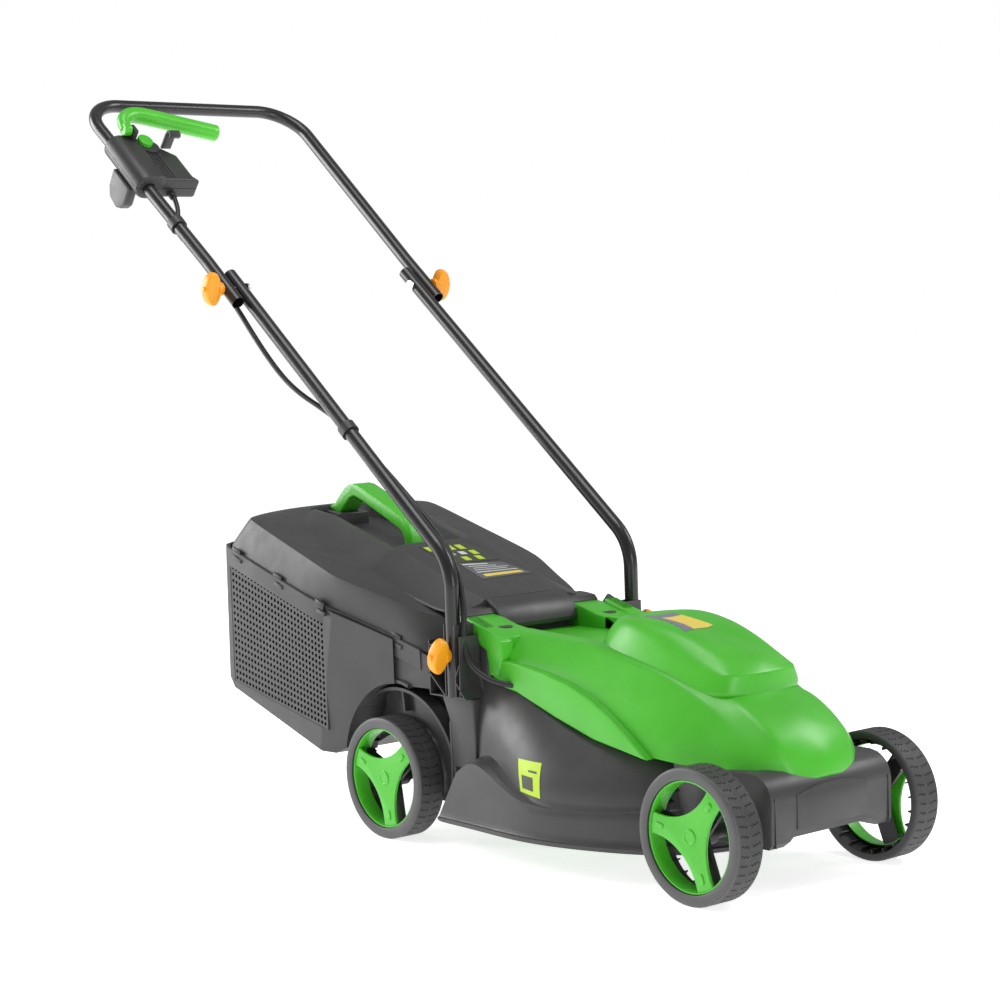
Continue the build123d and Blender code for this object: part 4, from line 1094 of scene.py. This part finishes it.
def makeLid():
    lid = bmesh.new()
    low = [(x, y, rimZ(x) + 1.0) for x, y in lidPlan["rim"]]
    wall = [(x + 0.08 * (c[0] - x), y + 0.08 * (c[1] - y), rimZ(x) + 1 + 0.12 * (c[2] - rimZ(x)))
            for (x, y), c in zip(lidPlan["rim"], lidPlan["crease"])]
    loft(lid, [mirroredRing(ring) for ring in (low, wall, lidPlan["crease"], lidPlan["brow"])])
    for ring, amount in ((mirroredRing(lidPlan["crease"]), 0.9), (mirroredRing(low), 1.0)):
        points = [Vector(p) for p in ring]
        creaseEdges(lid, lambda a, b: any((a - p).length < 0.01 for p in points)
                    and any((b - p).length < 0.01 for p in points), amount)
    lid = subdivided(lid, 3)
    saddle = bmesh.new()
    sections = []
    for x, share in ((hump["rear"], -0.5), (hump["rear"] + 26, 0.2), (hump["rear"] + 70, 0.65),
                     (hump["front"], 1.0)):
        narrow = 22 if share < 0 else 6 if share < 0.5 else 0
        base, top, z = hump["base"] - narrow, hump["top"] - narrow, lidTop(x)
        crown = z + hump["rise"] * share
        half = [(x, base, z - 16), (x, base - 2, z - 9), (x, top + 7, crown - 3.5), (x, top, crown - 0.6),
                (x, top - 4, crown)]
        sections.append(half + [(a, -b, c) for a, b, c in reversed(half)])
    loft(saddle, sections)
    merge(lid, saddle)
    dip = bmesh.new()
    x0, x1, r = hump["well"], hump["front"] + 8, hump["recess"]
    outline = [(x0, -r + 30), (x0 + 7, -r + 12), (x0 + 24, -r), (x1, -r), (x1, r), (x0 + 24, r),
               (x0 + 7, r - 12),
               (x0, r - 30)]
    loft(dip, [[(x + (4 if x < x0 + 10 else 0), y * 0.93, hump["floorRear"] + hump["floorSlope"] * (x - x0))
                for x, y in outline], [(x, y * 1.08, 440) for x, y in outline]])
    return cut(lid, dip, overlapping=True)


lower = makeBoxLower()
finishPiece(lower, "grassBoxLower", "polypropyleneBoxGrey", "grass_box", ["grass_box_lower"],
            30)
rims = bmesh.new()
makeRimBand(rims)
for side in (1, -1):
    makeArchFlange(rims, side)
tongues, notchShade = bmesh.new(), bmesh.new()
makeSnaps(notchShade, tongues)
merge(rims, tongues)
finishPiece(rims, "grassBoxRim", "polypropyleneBoxGrey", "grass_box", [], 40)
# painted shade: dark blocks standing in for the shadow inside the rim's snap notches
finishPiece(notchShade, "lidSnapNotchShade", "nylonDark", "grass_box", [], 30)
finishPiece(makeLid(), "grassBoxLid", "polypropyleneBoxGrey", "grass_box", ["grass_box_lid"],
            32)
print("grass box ready")


# Grass box handle: a long arch of a flat bar, feet in a black step

arch = {"half": 16.5,
        "outer": [(-873, 410), (-873, 415.5), (-862, 419), (-850, 431), (-838, 441.5), (-828, 446.5),
                                (-817, 448.5), (-806, 447), (-790, 441), (-740, 420.5), (-706, 405.5),
                  (-697, 400),
                                (-691, 392), (-682, 372), (-680, 358)],
        "inner": [(-700, 358), (-702, 374), (-707, 384), (-714, 389), (-748, 404), (-796, 424.5), (-812, 430),
                  (-819, 430), (-826, 427), (-838, 416), (-846, 409), (-850, 406)]}


def makeBoxHandle():
    bar = bmesh.new()
    prism(bar, arch["outer"] + arch["inner"], "y", -arch["half"], arch["half"])
    roundEdges(bar, 2.4, 4, 50)
    return bar


def makeHandleStep():
    step = bmesh.new()
    prism(step, [(-877, 392), (-877, 410), (-836, 406), (-836, 384)], "y", -26, 26)
    roundEdges(step, 1.8, 3, 35)
    return step


finishPiece(makeBoxHandle(), "grassBoxHandle", "absGreenGloss", "grass_box", ["grass_box_handle"],
            60)
finishPiece(makeHandleStep(), "grassBoxHandleStep", "polypropyleneBlack", "grass_box", [])


# Rear flap

flap = {"rollHalf": 67.2}
flapSections = [  # x, top half width, base half width, top z, base z
    (-645, 74, 122, 373, 338), (-600, 75, 122, 357, 323), (-555, 75, 121, 341, 311),
                (-510, 73, 120, 325, 300),
    (-482, 71, 118, 316, 296), (-468, 70, 116, 311, 293)]


def makeFlap():
    plate = bmesh.new()
    sections = []
    for x, top, base, zTop, zBase in flapSections:
        half = [(x, base, zBase), (x, base - 1, zBase + 3), (x, top + 4, zTop - 4), (x, top, zTop - 1),
                (x, top - 4, zTop),
                (x, top - 30, zTop + 1)]
        under = [(x, -base + 5, zBase), (x, -top + 4, zTop - 9), (x, top - 4, zTop - 9), (x, base - 5, zBase)]
        sections.append(half + [(a, -b, c) for a, b, c in reversed(half)] + under)
    loft(plate, sections)
    roll = bmesh.new()
    prism(roll,
          [(-480, 300), (-480, 314.2), (-470, 311.6), (-463, 309.6), (-455, 305), (-448, 299), (-443, 292),
                 (-439.5, 284), (-438, 278), (-440, 272.5), (-446, 270.5), (-453, 274), (-460, 284)], "y",
          -flap["rollHalf"], flap["rollHalf"])
    roundEdges(roll, 2.2, 3, 50)
    merge(plate, roll)
    wing = bmesh.new()  # the flap's edge beside the roll
    prism(wing, [(-486, 292), (-486, 303), (-470, 302), (-456, 300), (-450, 294), (-452, 288), (-470, 290)],
          "y", -116, 116)
    roundEdges(wing, 1.5, 3, 40)
    merge(plate, wing)
    return plate


flapShape = makeFlap()
flapTree = BVHTree.FromBMesh(flapShape)
finishPiece(flapShape, "rearFlap", "polypropyleneBlack", "flap", ["rear_flap"], 32)
print("flap ready")


# Plates: plain generic fields and bars, laid on the surfaces

def layOn(tree, outline, toward, lift, rows=10):  # a patch of a four-cornered outline, dropped on a surface
    a, b, c, d = (Vector(p) for p in outline)
    bm = bmesh.new()
    grid = []
    for i in range(rows + 1):
        line = []
        for j in range(rows + 1):
            u, v = i / rows, j / rows
            start = (a * (1 - u) + b * u) * (1 - v) + (d * (1 - u) + c * u) * v - Vector(toward) * 120
            hit, normal = tree.ray_cast(start, Vector(toward))[:2]
            surface = hit if hit is not None else start + Vector(toward) * 120
            line.append(bm.verts.new(surface - Vector(toward) * lift))
        grid.append(line)
    for i in range(rows):
        for j in range(rows):
            bm.faces.new((grid[i][j], grid[i + 1][j], grid[i + 1][j + 1], grid[i][j + 1]))
    bmesh.ops.recalc_face_normals(bm, faces=bm.faces)
    shell = evaluated(bm, [("SOLIDIFY", {"thickness": 0.5, "offset": 0.0})])
    return shell


def inside(outline, u0, u1, v0, v1):  # a smaller patch at shares of a four-cornered outline
    a, b, c, d = (Vector(p) for p in outline)

    def at(u, v):
        return (a * (1 - u) + b * u) * (1 - v) + (d * (1 - u) + c * u) * v

    return [at(u0, v0), at(u1, v0), at(u1, v1), at(u0, v1)]


plates = {
    "hoodBadge": dict(tree=hoodTree, toward=(0, 0, -1), body="deck", slot="hood_green",
                      outline=[(-208, -30, 320), (-208, 18, 320), (-132, 11, 320), (-124, -44, 320)],
                      fields=[("labelPurpleGrey", 0, 1, 0, 1), ("labelYellow", 0.3, 1, 0.22, 1)]),
    "deckPlate": dict(tree=deckTree, toward=(0, 1, 0), body="deck", slot="moulded_black",
                      outline=[(-300, -230, 134.5), (-257, -230, 133.5), (-251, -230, 92), (-290, -230, 96)],
                      fields=[("labelYellowGreen", 0, 1, 0, 1), ("labelInk", 0.5, 0.86, 0.26, 0.32),
                              ("labelInk", 0.16, 0.7, 0.46, 0.86)]),
    "flapLowerPlate": dict(tree=flapTree, toward=(0, 0, -1), body="flap", slot="moulded_black",
                           outline=[(-521, -27, 420), (-523, 62, 420), (-562, 42, 420), (-572, -27, 420)],
                           fields=[("labelGrey", 0, 1, 0, 1), ("labelYellow", 0.12, 0.9, 0.1, 0.24),
                                   ("labelWhite", 0.08, 0.94, 0.36, 0.4), ("labelWhite", 0.1, 0.8, 0.5, 0.53),
                                   ("labelWhite", 0.14, 0.9, 0.62, 0.65),
                                   ("labelWhite", 0.1, 0.7, 0.74, 0.77),
                                   ("labelWhite", 0.04, 0.6, 0.86, 0.92)]),
    "flapUpperPlate": dict(tree=flapTree, toward=(0, 0, -1), body="flap", slot="moulded_black",
                           outline=[(-574, -42, 440), (-570, 44, 440), (-628, 40, 440), (-632, -46, 440)],
                           fields=[("labelInk", 0, 1, 0, 1), ("labelYellowGreen", 0.04, 0.16, 0.68, 0.92),
                                   ("labelYellowGreen", 0.24, 0.36, 0.68, 0.92),
                                   ("labelYellowGreen", 0.44, 0.56, 0.68, 0.92),
                                   ("labelYellowGreen", 0.64, 0.76, 0.68, 0.92),
                                   ("labelWhite", 0.05, 0.17, 0.4, 0.56),
                                   ("labelWhite", 0.27, 0.39, 0.4, 0.56),
                                   ("labelWhite", 0.5, 0.62, 0.4, 0.56),
                                   ("labelYellowGreen", 0.72, 0.84, 0.36, 0.58),
                                   ("labelWhite", 0.05, 0.2, 0.1, 0.26),
                                   ("labelYellowGreen", 0.4, 0.52, 0.08, 0.28),
                                   ("labelYellowGreen", 0.66, 0.78, 0.08, 0.28)]),
}


def makePlates():
    for name, plate in plates.items():
        for k, (ink, u0, u1, v0, v1) in enumerate(plate["fields"]):
            patch = layOn(plate["tree"], inside(plate["outline"], u0, u1, v0, v1), plate["toward"],
                          0.35 + 0.3 * min(k, 1))
            finishPiece(patch, name + "Field%02d" % k, ink, plate["body"], [], 30)


makePlates()
print("plates ready")


# Switch box, bail, knobs, clips

case = {"start": 106.0, "end": 213.0, "outer": -206.0, "inner": -106.0, "above": 20.0, "below": 18.0,
        "tubeY": -184.0,
        "sleeve": 19.5, "sleeveEnd": -158.0}


def makeCase(upper):
    c = case
    body = bmesh.new()
    prism(body, [(c["start"] + 8, c["outer"] + 10), (c["end"], c["outer"] + 10), (c["end"], c["inner"] + 8),
                 (c["end"] - 10, c["inner"]), (c["start"] + 44, c["inner"]),
                 (c["start"] + 18, c["inner"] - 26),
                 (c["start"] + 8, c["inner"] - 34)], "z", -c["below"] + 1, c["above"] - 4)
    roundEdges(body, 4.5, 4, 30)
    sleeve = bmesh.new()
    turns = [radians(a) for a in range(90, 271, 12)]
    section = [(c["tubeY"] + c["sleeve"] * cos(a), 1 + c["sleeve"] * sin(a)) for a in turns]
    section += [(c["sleeveEnd"], 1 - c["sleeve"]), (c["sleeveEnd"], 1 + c["sleeve"])]
    prism(sleeve, section, "x", c["start"], c["end"] + 2)
    roundEdges(sleeve, 4.0, 4, 40)
    shape = join(body, sleeve)
    boss = bmesh.new()
    rod(boss, (132, -146, 4), (132, -146, c["above"] - 1), 17, 16, 48)
    shape = join(shape, boss)
    bore = bmesh.new()
    rod(bore, (c["start"] - 20, c["tubeY"] - 1.2, 0), (c["end"] + 20, c["tubeY"] + 1.8, 0), 9.9, segments=48)
    half = bmesh.new()
    if upper:
        block(half, 0, 400, -400, 0, -100, 0.6)
    else:
        block(half, 0, 400, -400, 0, -0.2, 100)
    gland = bmesh.new()
    rod(gland, (190, -142, -8), (240, -142, -8), 6.2, segments=32)
    shape = cut(shape, bore, half, gland)
    if upper:
        for y in (-154, -149, -144, -139):  # grip ribs down the lid
            bar = bmesh.new()
            block(bar, 146, 208, y - 1.2, y + 1.2, c["above"] - 6, c["above"] - 2.6)
            roundEdges(bar, 0.7, 2, 40)
            merge(shape, bar)
        lug = bmesh.new()
        block(lug, 103, 121, -169.7, -163, 10, 37)
        roundEdges(lug, 2.2, 3, 40)
        merge(shape, lug)
    intoHandle(shape)
    return shape


def makeButton():
    button = bmesh.new()
    rod(button, (123, -149, 12), (123, -149, case["above"] + 4.5), 11.5, 11.0, 48)
    bmesh.ops.scale(button, verts=button.verts, vec=(1.2, 1, 1), space=Matrix.Translation((-123, 149, 0)))
    roundEdges(button, 1.8, 4, 40)
    intoHandle(button)
    return button


bail = {"radius": 12.5}


def makeBail():
    route = [(108, -176.5, 30), (96, -177, 31), (83, -171, 34), (74, -152, 35), (78, -124, 33), (88, -72, 28),
             (100, -12, 23)]
    radii = [0.62, 0.7, 0.84, 0.98, 1.02, 1.0, 1.0]
    curve = bpy.data.curves.new("bailRoute", "CURVE")
    curve.dimensions = "3D"
    spline = curve.splines.new("NURBS")
    spline.points.add(len(route) - 1)
    for point, place, size in zip(spline.points, route, radii):
        point.co = (*place, 1)
        point.radius = size
    spline.order_u = 4
    spline.use_endpoint_u = True
    curve.bevel_depth = bail["radius"]
    curve.bevel_resolution = 8
    curve.resolution_u = 10
    curve.use_fill_caps = True
    obj = bpy.data.objects.new("bailRoute", curve)
    bpy.context.scene.collection.objects.link(obj)
    mesh = bpy.data.meshes.new_from_object(obj.evaluated_get(bpy.context.evaluated_depsgraph_get()))
    bpy.data.objects.remove(obj)
    lever = bmesh.new()
    lever.from_mesh(mesh)
    bmesh.ops.remove_doubles(lever, verts=lever.verts, dist=0.02)
    rims = [e for e in lever.edges if len(e.link_faces) == 2 and e.calc_face_angle() > radians(50)]
    bmesh.ops.bevel(lever, geom=rims, offset=3.0, affect="EDGES", segments=4, profile=0.5, material=-1)
    eye = bmesh.new()
    rod(eye, (108, -182.5, 30), (108, -170.6, 30), 9.0, segments=40)
    roundEdges(eye, 1.4, 3, 40)
    merge(lever, eye)
    intoHandle(lever)
    return lever


def makeHookStrap():  # curled strap that takes a loop of the extension lead
    strapShape = bmesh.new()
    prism(strapShape,
          [(128, 14), (128, 38), (130, 45), (135, 49.5), (141, 49.5), (145, 45), (143, 40), (139.5, 41),
                       (138, 44.5), (135, 44.5), (132.5, 41), (132, 14)], "y", -124, -107)
    roundEdges(strapShape, 1.0, 3, 35)
    intoHandle(strapShape)
    return strapShape


def makeInletShroud():  # flat tab round the plug pins, open at its lower end
    tab = bmesh.new()
    prism(tab, [(146, -12), (198, -12), (200, -40), (194, -50), (182, -56), (160, -52), (150, -40)], "y",
          -204, -188)
    roundEdges(tab, 3.0, 4, 25)
    hole = bmesh.new()
    rod(hole, (184, -196, -30), (190, -196, -64), 5.6, segments=32)
    tab = cut(tab, hole)
    intoHandle(tab)
    return tab


finishPiece(makeCase(True), "switchCaseTop", "switchNylonBlack", "grip", ["switch_case_top"])
finishPiece(makeCase(False), "switchCaseBottom", "switchNylonBlack", "grip", ["switch_case_bottom"])
finishPiece(makeButton(), "lockOffButton", "absGreenGloss", "button", ["lock_off_button"])
finishPiece(makeBail(), "bailLever", "absGreenGloss", "bail", ["bail_lever"], 40)
finishPiece(makeHookStrap(), "cordHook", "switchNylonBlack", "grip", ["cord_hook"])
finishPiece(makeInletShroud(), "plugInlet", "polypropyleneBoxGrey", "grip", ["plug_inlet"])
print("switch box ready")


knob = {"boss": 9.5, "length": 49.0, "height": 24.0, "gap": 0.6, "spread": {"upper": 178.0,
        "lower": 157.0}, "neck": {"upper": 5.0, "lower": 3.5}}


def makeKnob(bm, kind):  # round boss and a rounded wing with a scooped side
    start = knob["spread"][kind] + handle["tube"] + knob["gap"]
    end = start + knob["neck"][kind]
    turned(bm, [(start, 3.2), (start, 8.8), (start + 0.8, 9.5), (end + 4, 10.5), (end + 4, 3.2)], 40)
    half, out = knob["length"] / 2, knob["height"]
    wing = bmesh.new()
    outline = [(-half * 0.94, end + 6), (-half, end + 12), (-half * 0.8, end + 19),
               (-half * 0.42, end + 23.4),
               (0, end + 24.6), (half * 0.42, end + 23.4), (half * 0.8, end + 19), (half, end + 12),
               (half * 0.94, end + 6),
               (half * 0.5, end + 0.5), (0, end - 1.5), (-half * 0.5, end + 0.5)]
    loops = []
    for depth, grow in ((-9.0, 0.80), (-7.4, 0.94), (-3.5, 1.0), (3.5, 1.0), (7.4, 0.94), (9.0, 0.80)):
        middle = end + 11.5
        loops.append([(z * grow, middle + (y - middle) * grow, depth) for z, y in outline])
    loft(wing, loops)
    bmesh.ops.rotate(wing, verts=wing.verts, cent=(0, 0, 0), matrix=Matrix.Rotation(pi / 2, 3, "Y"))
    wing = subdivided(wing, 2)
    merge(bm, wing)
    rod(bm, (0, end + 12, 0), (0, end + 27, 0), 5.0, 3.6, 24)


def placeKnobs():
    fold = onHandle(handle["fold"], 0)
    for kind, place in (("upper", fold), ("lower", Vector((pillar["foot"], 0, 252)))):
        for name, side in (("left", 1), ("right", -1)):
            shape = bmesh.new()
            makeKnob(shape, kind)
            if side < 0:
                bmesh.ops.scale(shape, verts=shape.verts, vec=(1, -1, 1))
            tilt = 20 if kind == "lower" else 8
            bmesh.ops.rotate(shape, verts=shape.verts, cent=(0, 0, 0),
                             matrix=Matrix.Rotation(radians(tilt), 3, "Y"))
            bmesh.ops.translate(shape, verts=shape.verts, vec=place)
            finishPiece(shape, kind + name.capitalize() + "Knob", "knobNylonOrange",
                        "knob_" + kind + "_" + name,
                        [kind + "_knob_" + name], 50)


placeKnobs()


# Finishes of the CAD pieces that show as they are

carried = {
    "powderCoatBlack": ["upper_handle", "lower_handle_left", "lower_handle_right"],
    "polypropyleneBoxGrey": ["vent_panel_left", "vent_panel_right"],
    "switchNylonBlack": ["upper_lead_clip", "lower_lead_clip", "switch_module", "lead_gland"],
    "zincPlatedSteel": ["front_axle_rod", "rear_axle_rod", "front_axle_nuts", "rear_axle_nuts",
                        "upper_handle_bolts",
                        "lower_handle_bolts", "flap_hinge_pin", "bail_pin", "rotor_shaft", "blade_washer",
                        "blade_nut",
                        "motor_bearings"],
    "groundBladeSteel": ["cutting_blade"],
    "motorVarnishGrey": ["motor_can", "stator_core", "armature"],
    "nylonDark": ["front_axle_spacers", "rear_axle_spacers", "blade_holder_fan"],
    "brassPins": ["plug_inlet_pins"],
}
for finish, nodes in carried.items():
    for node in nodes:
        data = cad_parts[node].data
        data.materials.clear()
        data.materials.append(material[finish])
print("carried pieces ready")
